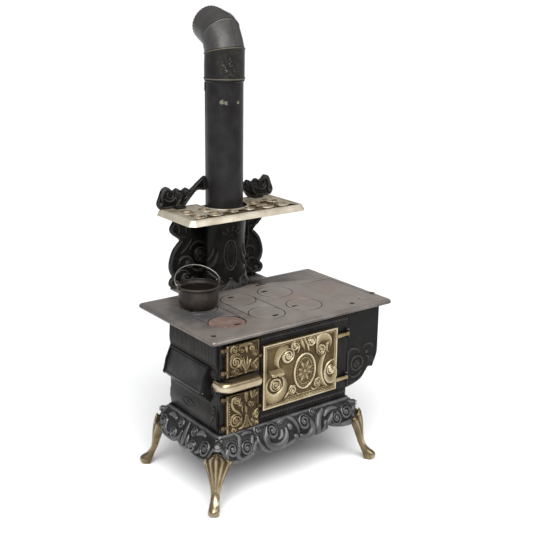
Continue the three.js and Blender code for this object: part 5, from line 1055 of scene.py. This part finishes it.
def foot_corner(sx, sy, out, across, level):
    """A place by the body's corner: out along the corner's diagonal, and across it."""
    x = BODY_LEFT if sx < 0 else BODY_RIGHT
    y = BODY_FRONT if sy < 0 else BODY_BACK
    dx, dy = sx / math.sqrt(2), sy / math.sqrt(2)
    hand = sx * sy
    return x + dx * out - dy * across * hand, y + dy * out + dx * across * hand, level


CORNERS = {"leg_front_left": (-1, -1), "leg_front_right": (1, -1), "leg_back_left": (-1, 1),
           "leg_back_right": (1, 1)}


def base_apron():
    parts = [apron_side(BODY_LEFT, BODY_RIGHT, wall, True, FRONT_LOBES, front_scrolls)
             for wall in (BODY_FRONT, BODY_BACK)]
    parts += [apron_side(BODY_FRONT, BODY_BACK, wall, False, SIDE_LOBES, end_scrolls)
              for wall in (BODY_LEFT, BODY_RIGHT)]
    flange = [(129, 0, -0.4), (SKIRT_TOP, 0, 0)]
    parts.append(stepped_plate((lambda inset: rectangle(-195, 111.7, -122.2, 51.7, 2, 4), flange),
                               (lambda inset: rectangle(-181.3, 98, -108.5, 38, 2, 4)[::-1], flange)))
    for sx, sy in CORNERS.values():
        parts.append(rod(foot_corner(sx, sy, 8, 0, 120), foot_corner(sx, sy, 20.5, 0, 120), 6.5, 1))
    cast("apron_casting", GUNMETAL, "base_apron", *parts)


LEG_TALL, LEG_REACH, LEG_HALF = 109, 66.5, 25.5
LEG_SHARES = [(0, 0.7, 0.86, 0.35, 0), (0.02, 0.66, 0.97, 0.4, 0), (0.08, 0.62, 1, 0.4, 0),
              (0.13, 0.6, 0.95, 0.36, 0), (0.2, 0.545, 0.79, 0.335, 0), (0.31, 0.465, 0.665, 0.345, 0),
              (0.44, 0.395, 0.61, 0.42, 0), (0.6, 0.34, 0.59, 0.62, 0.045), (0.76, 0.295, 0.57, 0.88, 0.11),
              (0.9, 0.3, 0.52, 1, 0.18), (0.95, 0.32, 0.49, 0.78, 0.16), (1, 0.35, 0.45, 0.2, 0.02)]


def leg(name, sx, sy):
    """A fluted cabriole leg, from shares of its height, its near and far reach, its width and its wrap."""
    rings, tones = [], []
    for level, near, far, wide, wrap in spline(np.array(LEG_SHARES) * (LEG_TALL, 1, 1, 1, 1), 1.6):
        share = min(max(level / LEG_TALL, 0), 1)
        near, far = near * LEG_REACH, min(far, 0.997) * LEG_REACH
        fluted = min(max((share - 0.34) / 0.4, 0), 1)
        ring = []

        def add(s, out, tone):
            drop = 11 * s * s * smooth_step(share, 0.8, 1)
            out -= wrap * LEG_REACH * s * s
            ring.append(foot_corner(sx, sy, out, s * wide * LEG_HALF, share * LEG_TALL - drop))
            tones.append(tone)

        # The tones paint shade in the flutes and on the inner face, and highlights on the flutes' ridges.
        for s in np.linspace(-1, 1, 45):
            face = near + (far - near) * (0.4 + 0.6 * math.sqrt(1 - 0.75 * s * s))
            groove = 0.5 - 0.5 * math.cos(FULL_TURN * s / 0.42)
            if abs(s) < 0.97:
                add(s, face - 2.2 * fluted * groove ** 0.7, 0.45 - 1.2 * fluted * groove)
            else:
                add(s, face, 0.1)
        for s in np.linspace(0.8, -0.8, 7):
            add(s, near, -0.3)
        rings.append(ring)
    tongue = []
    for level in (96, 115.2, 125):
        inside = math.sqrt(2) * (float(skirt_out(level)) - 5.9)
        tongue.append([foot_corner(sx, sy, inside - back, across, level)
                       for back, across in ((8, -8), (0, 0), (8, 8), (15, 8), (15, -8))])
    cast(name + "_casting", LEG_NICKEL, name, (*skin(rings), tones), skin(tongue))


# The top plate
def deck_edge(inset):
    """The cooktop's outline, with the tongue under the flue at its back."""
    hx, hy = 216 - inset, DECK_HALF_DEPTH - inset
    half, back = 104 - inset, 192 - inset
    ring = rectangle(-hx, hx, -hy, hy, max(8 - inset, 0.5), 10)
    tongue = [(MIDDLE + half, hy), (MIDDLE + half, back), (MIDDLE - half, back), (MIDDLE - half, hy)]
    return ring[:20] + tongue + ring[20:]


def well(x, y0, y1, radius):
    """The outline of a round well, or a long one where y0 and y1 differ, by how far it is grown."""
    def line(grow):
        r = radius + grow
        ring = (arc(x, y1, r, r, np.linspace(0, HALF_TURN, 40))
                + arc(x, y0, r, r, np.linspace(HALF_TURN, FULL_TURN, 40)))
        return ring[-2::-1] if y0 == y1 else ring[::-1]
    return line


LID_COLUMNS = {"left": -135, "middle": -43.5, "right": 48}
LID_ROWS = {"front": -59, "rear": 36}
LID_RADIUS, WELL_RADIUS = 35.2, 35.5
SLOT_TURNS = {("front", "left"): -60, ("rear", "left"): 200, ("front", "middle"): -74,
              ("rear", "middle"): 100, ("front", "right"): 175, ("rear", "right"): 141}
FACE = DECK_FACE
UNDER = FACE - 9.8
SEAM = [(FACE - 0.7, 0, -1), (FACE, 0.6, -0.9), (FACE, 1.3, 0.15), (FACE, 2.4, 0)]
# The nose's tones are painted shade on the deck's rounded front edge, darkest underneath.
NOSE = [(UNDER, 2.8, -0.85), (FACE - 9.2, 1.4, -0.85), (FACE - 8.2, 0.4, -0.8), (FACE - 6.6, 0, -0.7),
        (FACE - 5, 0.2, -0.5), (FACE - 3.4, 0.9, -0.4), (FACE - 2, 2.1, -0.3), (FACE - 1, 3.8, -0.3),
        (FACE - 0.3, 6, -0.2), (FACE, 8.2, -0.05), (FACE, 11, 0)]


def cooktop():
    def seat(ledge):
        return [(UNDER, ledge, -0.8), (FACE - 4.3, ledge, -0.8), (FACE - 4.3, 0, -1)] + SEAM

    front, rear = LID_ROWS.values()
    loops = [(deck_edge, NOSE)]
    loops += [(well(LID_COLUMNS[column], front, rear, WELL_RADIUS), seat(-3.5))
              for column in ("left", "middle")]
    loops += [(well(LID_COLUMNS["right"], y, y, WELL_RADIUS), seat(-3.5)) for y in (front, rear)]
    loops.append((lambda e: rectangle(124 - e, 201 + e, -95 - e, 45 + e, 1.5 + max(e, -1), 5)[::-1],
                  seat(-6)))
    screw = [(UNDER, -2.3, -0.8), (FACE - 2.6, -2.3, -0.8), (FACE - 0.5, -0.2, -0.9), (FACE, 0.3, -0.5),
             (FACE, 1, 0)]
    loops += [(well(x, y, y, 4.8), screw) for x, y in ((-196, -106), (130, -108.4), (208, -82))]
    loops.append((lambda e: pill(52.6, 91.8, 26 + 2 * e, 4 + 2 * e)[::-1],
                  [(UNDER, 0, -1), (FACE - 0.5, 0, -1), (FACE, 0.5, -0.6), (FACE, 1.3, 0)]))
    through = [(UNDER, 0, -1), (FACE, 0, -1)]
    loops.append((lambda e: arc(MIDDLE, PIPE_Y, 34, 28, around(40)[::-1]), through))
    loops += [(well(x, 163.4, 163.4, 2.3), through) for x in (MIDDLE - 84, MIDDLE + 84)]
    cast("cooktop_casting", DECK, "cooktop", stepped_plate(*loops))


def lid(row, column, sunk):
    x, y = LID_COLUMNS[column], LID_ROWS[row]
    turn = math.radians(SLOT_TURNS[row, column])
    sx, sy = x + 0.6 * LID_RADIUS * math.cos(turn), y + 0.6 * LID_RADIUS * math.sin(turn)
    face, low = FACE - sunk, FACE - 4
    disc = (lambda e: circle(x, y, LID_RADIUS - e, 96),
            [(low, 0.6, -0.8), (low + 0.5, 0, -1), (face - 0.6, 0, -1), (face, 0.6, -0.7), (face, 1.3, 0.3),
             (face, 2.6, 0.1), (face, 9, 0)])
    slot = (lambda e: pill(sx, sy, 13 + 2 * e, 4.5 + 2 * e)[::-1],
            [(low, 0, -1), (face - 0.5, 0, -1), (face, 0.5, -0.8), (face, 1.6, 0.1)])
    name = f"lid_{row}_{column}"
    cast(name + "_casting", RUSTY if sunk else DECK, name, stepped_plate(disc, slot))


def centre_piece(name, x):
    low, high = -47, 24

    def line(inset):
        half, r = LID_RADIUS - inset, WELL_RADIUS + inset
        reach = math.acos(min(1, 12 / r))
        turn = np.linspace(reach, -reach, 44)
        top = arc(x, LID_ROWS["rear"], r, r, turn - HALF_TURN / 2)
        foot = arc(x, LID_ROWS["front"], r, r, turn + HALF_TURN / 2)
        return [(x + half, low), (x + half, high), *top, (x - half, high), (x - half, low), *foot]

    plate = stepped_plate((line, [(FACE - 4, 0.1, -0.8), (FACE - 0.6, 0, -1), (FACE, 0.5, -0.8),
                                  (FACE, 1.2, 0.2)]))
    below = stepped_plate((lambda e: rectangle(x - 30, x + 30, -26, 3),
                           [(FACE - 5.6, 0, -0.8), (FACE - 3.9, 0, -0.8)]))
    cast(name + "_casting", DECK, name, plate, below)


KETTLE_SHARES = [(0.76, 0), (0.92, 0.22), (0.955, 0.48), (0.92, 0.72), (0.9, 0.82), (0.93, 0.88),
                 (0.995, 0.93)]


def kettle():
    """The kettle with its ears, and the bail that hangs from them."""
    x, y, radius, tall, low = -130, 46, 41, 45, DECK_TOP
    floor = low + 2.6
    side = spline([(r * radius, low + h * tall) for r, h in KETTLE_SHARES], 1.2)
    rim = [(radius, low + tall * 0.955), (radius, low + tall * 0.985), (radius - 1, low + tall),
           (radius - 2.2, low + tall), (radius - 3, low + tall * 0.96)]
    inner = [(r - 2.6, max(z, floor)) for r, z in side[::-1]]
    points, faces = turned([(0, low), (radius * 0.7, low), *side, *rim, *inner, (0, floor)], x, y, 96)
    px, py, level = np.transpose(points)
    inside = np.hypot(px - x, py - y) < np.interp(level, side[:, 1], side[:, 0]) - 1.2
    # Darker inside as painted shade, and lighter round the rim as a painted highlight.
    parts = [(points, faces, np.where(inside, -0.3, np.where(level > low + 42, 0.5, 0)))]
    turn, lean = math.radians(-8), math.radians(58)
    axis = np.array([math.cos(turn), math.sin(turn), 0])
    across = np.array([-math.sin(turn), math.cos(turn), 0])
    up = np.array([0, 0, 1])
    pivot = np.array([x, y, low + tall + 4.2])
    ear = [(-4.6, -9), (4.6, -9), *arc(0, 0, 4.6, 3.7, np.linspace(0, HALF_TURN, 11))]
    for hand in (-1, 1):
        parts.append(skin([[pivot + axis * hand * out + share * (across * s + up * h) for s, h in ear]
                           for out, share in ((40, 1), (43.6, 1), (44.4, 0.86))]))
    cast("kettle_casting", KETTLE, "kettle", *parts)
    rise = across * math.sin(lean) + up * math.cos(lean)
    bow = arc(0, 0, 46.5, 46, np.linspace(0, HALF_TURN, 60))[1:-1]
    line = [(37.1, 0), (42, 0), (45.4, 0), *bow, (-45.4, 0), (-42, 0), (-37.1, 0)]
    cast("bail_wire", WIRE, "kettle_bail",
         sweep([pivot + axis * out + rise * height for out, height in line], [1.1] * len(line), 14))


# The pipe
PIPE_RADIUS, ELBOW_RADIUS, SHEET_THICK = 38, 40.1, 1.4
SEAM_ANGLE = math.radians(150)


def tilted(at, lean, polar):
    """Points from (radius, angle) about the pipe's line, at a place (y, z) and leaning back by degrees."""
    tilt = math.radians(lean)
    return [(MIDDLE + r * math.cos(a), at[0] + r * math.sin(a) * math.cos(tilt),
             at[1] - r * math.sin(a) * math.sin(tilt)) for r, a in polar]


def seam_strip(levels, wide, thick):
    """The lapped seam that runs up the pipe at its side."""
    r = PIPE_RADIUS
    section = [(r - 0.4, -wide), (r + thick * 0.2, -wide), (r + thick, -wide * 0.6), (r + thick, wide * 0.6),
               (r + thick * 0.2, wide), (r - 0.4, wide)]
    polar = [(radius, SEAM_ANGLE + across / r) for radius, across in section]
    return skin([tilted((PIPE_Y, z), 0, polar) for z in levels])


def stovepipe():
    r, foot, top = PIPE_RADIUS, 468, 752
    bead = [(r, 739), (r + 0.6, 739.6), (r + 1.6, 740.6), (r + 2, 741.6), (r + 1.6, 742.4), (r, 743)]
    outer = [(r, z) for z in (foot, 520, 600, 680)] + bead + [(r, top)]
    inner = [(r - SHEET_THICK, z) for z in (top, 680, 560, foot)]
    cast("pipe_sheet", PIPE, "stovepipe", turned(outer + inner, MIDDLE, PIPE_Y, 128),
         seam_strip(np.linspace(488, 721, 12), 5, 0.9), seam_strip(np.linspace(721.4, 738, 4), 7, 2))


def flue_collar():
    profile = [(34.3, 464.3), (43.6, 464.3), (44.3, 464.9), (44.3, 467.7), (43.6, 468.3), (42.6, 468.5),
               (42.3, 469.4), (42.3, 484.6), (43.4, 485.2), (43.4, 486.6), (42.8, 486.9), (38.3, 486.9),
               (38.3, 467.7), (34.3, 467.7)]
    cast("collar_casting", IRON, "flue_collar", turned(profile, MIDDLE, PIPE_Y, 96))


def ahead(place, lean, distance):
    a = math.radians(lean)
    return place[0] + distance * math.sin(a), place[1] + distance * math.cos(a)


def gore(name, look, stations, laps=0, crimp=0.0):
    """A sheet-metal section through (place, radius, lean) stations, open at both ends. Its seam laps over
    the first laps stations, and crimp is how deep its end is crimped."""
    def ring(station, grow, crimp):
        at, radius, lean = station
        return tilted(at, lean, [(radius + grow - crimp * (0.5 - 0.5 * math.cos(32 * a)), a)
                                 for a in around(256)])

    last = len(stations) - 1
    rings = [ring(station, 0, crimp * (i == last)) for i, station in enumerate(stations)]
    rings += [ring(stations[i], -SHEET_THICK, crimp * (i == last)) for i in (last, last // 2, 0)]
    # Beads are toned light as painted highlights, and the inside dark as painted shade.
    tones = [0.8 if radius > stations[0][1] + 1 else 0 for _, radius, _ in stations] + [-0.4] * 3
    strip = [(4.78, -0.6), (4.78, 0.4), *[(a, 0.7) for a in np.linspace(4.8, 5.1, 6)], (5.12, 0.4),
             (5.12, -0.6)]
    seams = []
    for pair in zip(stations[:laps], stations[1:laps]):
        lap = skin([tilted(at, lean, [(radius + out, a) for a, out in strip]) for at, radius, lean in pair])
        # The lap is toned darker at its edges as painted shade, and a little lighter on top as a painted
        # highlight.
        seams.append((*lap, ([-0.9] * 2 + [0.15] * 6 + [-0.3] * 2) * 2))
    cast(name + "_sheet", look, name, (*skin(rings, True), np.repeat(tones, len(rings[0]))), *seams)


def elbow():
    r, foot, seam1 = ELBOW_RADIUS, 743.3, (PIPE_Y, 800)
    seam2 = ahead(seam1, 25, 36)
    bead = [(0, 0), (0.35, 0.7), (0.7, 1.2), (1.2, 1.2), (1.7, 0.7), (2, 0)]

    def beaded(seam, start, radius, lean):
        return [(ahead(seam, lean, start + 2 * up), radius + rise, lean) for up, rise in bead[1:]]

    stations = [((PIPE_Y, foot + 2.4 * up), r + rise, 0) for up, rise in bead]
    stations += [((PIPE_Y, 749), r, 0), ((PIPE_Y, 770), r, 3), (ahead(seam1, 12, -4.4), r, 12)]
    gore("elbow_sleeve", SLEEVE, stations + beaded(seam1, -4.2, r, 12))
    q = r - 0.6
    stations = [(ahead(seam1, 12, 0.2), q, 12), (ahead(seam1, 20, 14), q, 24),
                (ahead(seam2, 46, -4.6), q, 46)]
    gore("elbow_middle", ELBOW, stations + beaded(seam2, -4.4, q, 46), 4)
    stations = [(ahead(seam2, 46, 0.2), r - 0.1, 46), (ahead(seam2, 55, 10), r - 0.1, 54)]
    stations += [(ahead(seam2, 68, out), r - less, 68)
                 for out, less in ((24, 2.2), (34, 3), (36, 3.2), (47.6, 4.7))]
    gore("elbow_end", ELBOW, stations, 4, 1.0)


# What is cast on the body
def front_rail():
    x0, x1, low, high, front, wrap = -200, -112, 219, 238, -143, -108
    bend, ease = 20, 5
    rings, tones = [], []
    for up in (1 - np.cos(np.linspace(0, HALF_TURN, 15))) / 2:
        inset = ease * (1 - math.sqrt(max(0, 1 - (2 * up - 1) ** 2)))
        a0, a1, f = x0 + inset, x1 - inset, front + inset
        ring = [(a1, -120.8), (-197.6, -120.8), (-197.6, wrap), (a0, wrap)]
        ring += arc(a0 + bend, f + bend, bend, bend, np.linspace(HALF_TURN, 1.5 * HALF_TURN, 16))
        ring += arc(a1 - ease, f + ease, ease, ease, np.linspace(1.5 * HALF_TURN, FULL_TURN, 7))
        rings.append([(x, y, low + up * (high - low)) for x, y in ring])
        # The front and lower face is toned lighter as a painted highlight, and the top darker as painted
        # shade.
        tones += [0.3 if up < 0.8 else -0.2] * len(ring)
    cast("rail_casting", RAIL_NICKEL, "front_rail", (*skin(rings), tones))


END_BOW = [(0, 0), (0.03, 0.3), (0.11, 1), (0.19, 0.9), (0.26, 0.15), (0.36, -0.05), (0.5, 0.05), (0.6, 0.1),
           (0.68, 0.2), (0.8, 0.6), (0.92, 0.35), (1, 0)]


def on_end(y, z, h):
    """Places on the bowed face of the left end."""
    bow = np.interp((z - 133.3) / 178.6, *np.transpose(END_BOW))
    return np.stack([BODY_LEFT - 4.6 * bow - h, y, z], 1)


def end_reeds():
    """The reeded band over the feed door, the scrolls at its front and the boss below it."""
    r = Relief(steps(-115.5, 45, 0.85), steps(261, 308, 0.85))
    phase = np.abs(((r.u + 114) / 4.6) % 1 * 2 - 1)
    reeded = smooth_step(np.minimum(r.v - 264.5, 303.5 - r.v), 0, 1.6)
    r.fill(0.4 + 1.5 * rounded(phase) * reeded)
    r.fill(band(r.v - 261, 1.6, 1.6, 1.8))
    r.fill(band(308 - r.v, 2, 2, 2))
    upper = r.plate(-1.5, on_end)
    r = Relief(steps(-115, -91.5, 0.85), steps(136, 258, 0.85))
    r.fill(0.3)
    r.volute(-103, 246, 7.4, 200, 1.3, 1, 2.6, 2.8, [(-110, 237, 1.8, 2.2), (-104, 228, 1, 1.6)])
    r.volute(-103, 214, 7.4, 20, 1.3, -1, 2.6, 2.8, [(-97, 224, 1.8, 2.2)])
    r.volute(-104, 178, 6, 160, 1.2, 1, 2.2, 2.6)
    r.stroke([(-110, 168, 1.2, 2), (-104, 160, 2.6, 2.6), (-99, 150, 1.2, 1.8)])
    front = r.plate(-1.5, on_end)
    lozenge = spline([(-44, 163), (-20, 172), (4, 163), (-20, 154)], 2, True)
    r = Relief(steps(-50, 10, 0.9), steps(150, 176, 0.9), lozenge)
    r.fill(band(r.edge, 1.2, 1, 0.6))
    r.lay([(-27, 163, 1, 0.5), (-20, 163, 3.2, 1.2), (-13, 163, 1, 0.5)])
    tone = np.clip(r.tone(), -0.4, 0.2)
    r.h = r.h + 0.1
    return gather(upper, front, r.plate(-1.5, on_end, tone))


RESERVOIR_EDGE = [(192, 250), (192, 223.4), (190, 206), (183.8, 191.2), (178.9, 181.6), (169.1, 183.2),
                  (161, 175.1), (149.5, 162.3), (128.3, 154.2), (110.3, 151)]


def reservoir_front():
    x0, x1, z0, z1 = 110.4, 191.9, 151.2, 311.8
    curve = np.clip(spline(RESERVOIR_EDGE, 2), (x0, z0), (x1, z1))
    r = Relief(steps(x0, x1, 0.95), steps(z0, z1, 0.95), [(x1, z1), *curve, (x0, z1)])
    r.fill(0.2 + band(r.edge, 2.4, 2.2, 1.8) * smooth_step(236 - r.v, 0, 8))
    r.ring(137, 198, 15, 15, 2.4, 2.6, 80)
    r.volute(137, 198, 8.6, 120, 1.3, 1, 2.8, 2.8)
    r.volute(173, 197, 8.2, 200, 1.3, -1, 2.8, 2.8, [(166, 206, 2.2, 2.4), (158, 210, 1, 1.6)])
    r.lay([(161.5, 217, 4, 3.2)])
    r.stroke([(114, 224, 1.2, 2), (122, 231, 2.8, 2.8), (134, 229, 2.4, 2.6), (144, 222, 1, 1.6)])
    r.stroke([(180, 222, 1, 1.8), (174, 231, 2.6, 2.8), (163, 234, 2.2, 2.4), (152, 229, 1, 1.6)])
    r.stroke([(118, 176, 1.2, 2), (128, 170, 2.6, 2.6), (142, 172, 2.8, 2.8), (152, 180, 1.2, 1.8)])
    r.stroke([(116, 164, 1, 1.6), (126, 160, 1.8, 2), (138, 163, 1, 1.4)])
    return r.plate(-1.2, facing_front(BODY_FRONT))


def rope(x0, x1, low, high):
    """A raised rope moulding on the front panel."""
    r = Relief(steps(x0, x1, 0.8), steps(low, high, 0.8))
    middle, half = (low + high) / 2, (high - low) / 2
    across = (r.v - middle) / half
    twist = 0.75 + 0.25 * np.cos(FULL_TURN * (r.u + across * 4.2) / 6.5)
    r.fill(2.4 * twist * rounded(across * 1.7) + band(half - np.abs(r.v - middle), 1.2, 1.2, 1))
    return r.plate(-1, facing_front(BODY_FRONT))


oven_door()
small_door("fire_door", 244, 305, (255, 298), fire_ornament, 272)
small_door("ash_door", 134, 208, (147, 203), ash_ornament, 172)
back_splat()
shelf_crest()
high_shelf()
base_apron()
for name, (sx, sy) in CORNERS.items():
    leg(name, sx, sy)
cooktop()
for column in LID_COLUMNS:
    for row in LID_ROWS:
        lid(row, column, 1.2 if (row, column) == ("front", "left") else 0)
for column in ("left", "middle"):
    centre_piece("centre_piece_" + column, LID_COLUMNS[column])
kettle()
stovepipe()
flue_collar()
elbow()
front_rail()
dress("front_panel", extra=gather(rope(-104, 108, 293, 306), rope(-104, 108, 137, 152)))
dress("feed_door", PLATE_IRON)
dress("end_panel_left", extra=end_reeds())
dress("reservoir_shell", extra=reservoir_front())

# Everything else keeps its CAD form
for node in sorted(NODES):
    if not NODES[node].hide_render:
        dress(node)


# Floor, light and camera
def show(made):
    bpy.context.scene.collection.objects.link(made)
    return made


def studio_floor():
    s = Shade("studio_floor")
    grain = s.noise(3, 2)
    look = s.finish(s.ramp(grain, {0: (965, 965, 965), 100: (985, 985, 985)}), 0.9, grain, 0.02)
    mesh = bpy.data.meshes.new("studio_floor")
    corners = [(x, y, -0.0006) for x, y in rectangle(-12, 14, -6, 20)]
    mesh.from_pydata(corners, [], [(0, 1, 2, 3)])
    mesh.materials.append(look)
    show(bpy.data.objects.new("studio_floor", mesh))


def lamp(name, kind, power, spot, target, **settings):
    light = bpy.data.lights.new(name, kind)
    light.energy = power
    for key, value in settings.items():
        setattr(light, key, value)
    made = show(bpy.data.objects.new(name, light))
    made.location = spot
    made.rotation_euler = (Vector(target) - Vector(spot)).to_track_quat("-Z", "Y").to_euler()


def lights():
    lamp("key", "SUN", 3.1, (-0.9, -1.5, 2.6), (0, 0, 0), angle=math.radians(50))
    lamp("window_left", "AREA", 22, (-1.7, -1.3, 1.5), (0, 0, 0.35), shape="RECTANGLE", size=1, size_y=1.4)
    lamp("window_front", "AREA", 14, (0.9, -2.1, 1.6), (0, 0, 0.4), shape="RECTANGLE", size=1.3, size_y=0.9)
    world = bpy.context.scene.world or bpy.data.worlds.new("studio")
    bpy.context.scene.world = world
    world.use_nodes = True
    tree = world.node_tree
    tree.nodes.clear()
    fill, seen, mixer, path, out = (tree.nodes.new("ShaderNode" + kind) for kind in (
        "Background", "Background", "MixShader", "LightPath", "OutputWorld"))
    for node, colour, strength in ((fill, (0.97, 0.985, 1, 1), 0.28), (seen, (1, 1, 1, 1), 1)):
        node.inputs[0].default_value = colour
        node.inputs[1].default_value = strength
    for source, socket in ((path.outputs["Is Camera Ray"], mixer.inputs[0]),
                           (fill.outputs[0], mixer.inputs[1]),
                           (seen.outputs[0], mixer.inputs[2]), (mixer.outputs[0], out.inputs[0])):
        tree.links.new(source, socket)
    bpy.context.scene.view_settings.view_transform = "Standard"


CAMERA_PLACE = (-1059.84, -1414.80, 912.78)
CAMERA_YAW, CAMERA_PITCH, CAMERA_ROLL = 0.6424, 0.2862, 0.0125
FOCAL_PIXELS, PICTURE_PIXELS = 938.534, 533


def camera():
    yaw, pitch, roll = CAMERA_YAW, CAMERA_PITCH, CAMERA_ROLL
    onward = Vector((math.sin(yaw) * math.cos(pitch), math.cos(yaw) * math.cos(pitch), -math.sin(pitch)))
    right = Vector((math.cos(yaw), -math.sin(yaw), 0))
    up = right.cross(onward)
    across = math.cos(roll) * right + math.sin(roll) * up
    rise = -math.sin(roll) * right + math.cos(roll) * up
    data = bpy.data.cameras.new("camera")
    data.sensor_fit = "HORIZONTAL"
    data.sensor_width = 36
    data.lens = 36 * FOCAL_PIXELS / PICTURE_PIXELS
    data.clip_end = 100
    made = show(bpy.data.objects.new("camera", data))
    turn = Matrix((across, rise, -onward)).transposed().to_4x4()
    made.matrix_world = Matrix.Translation(Vector(metres(CAMERA_PLACE))) @ turn
    bpy.context.scene.camera = made


studio_floor()
lights()
camera()
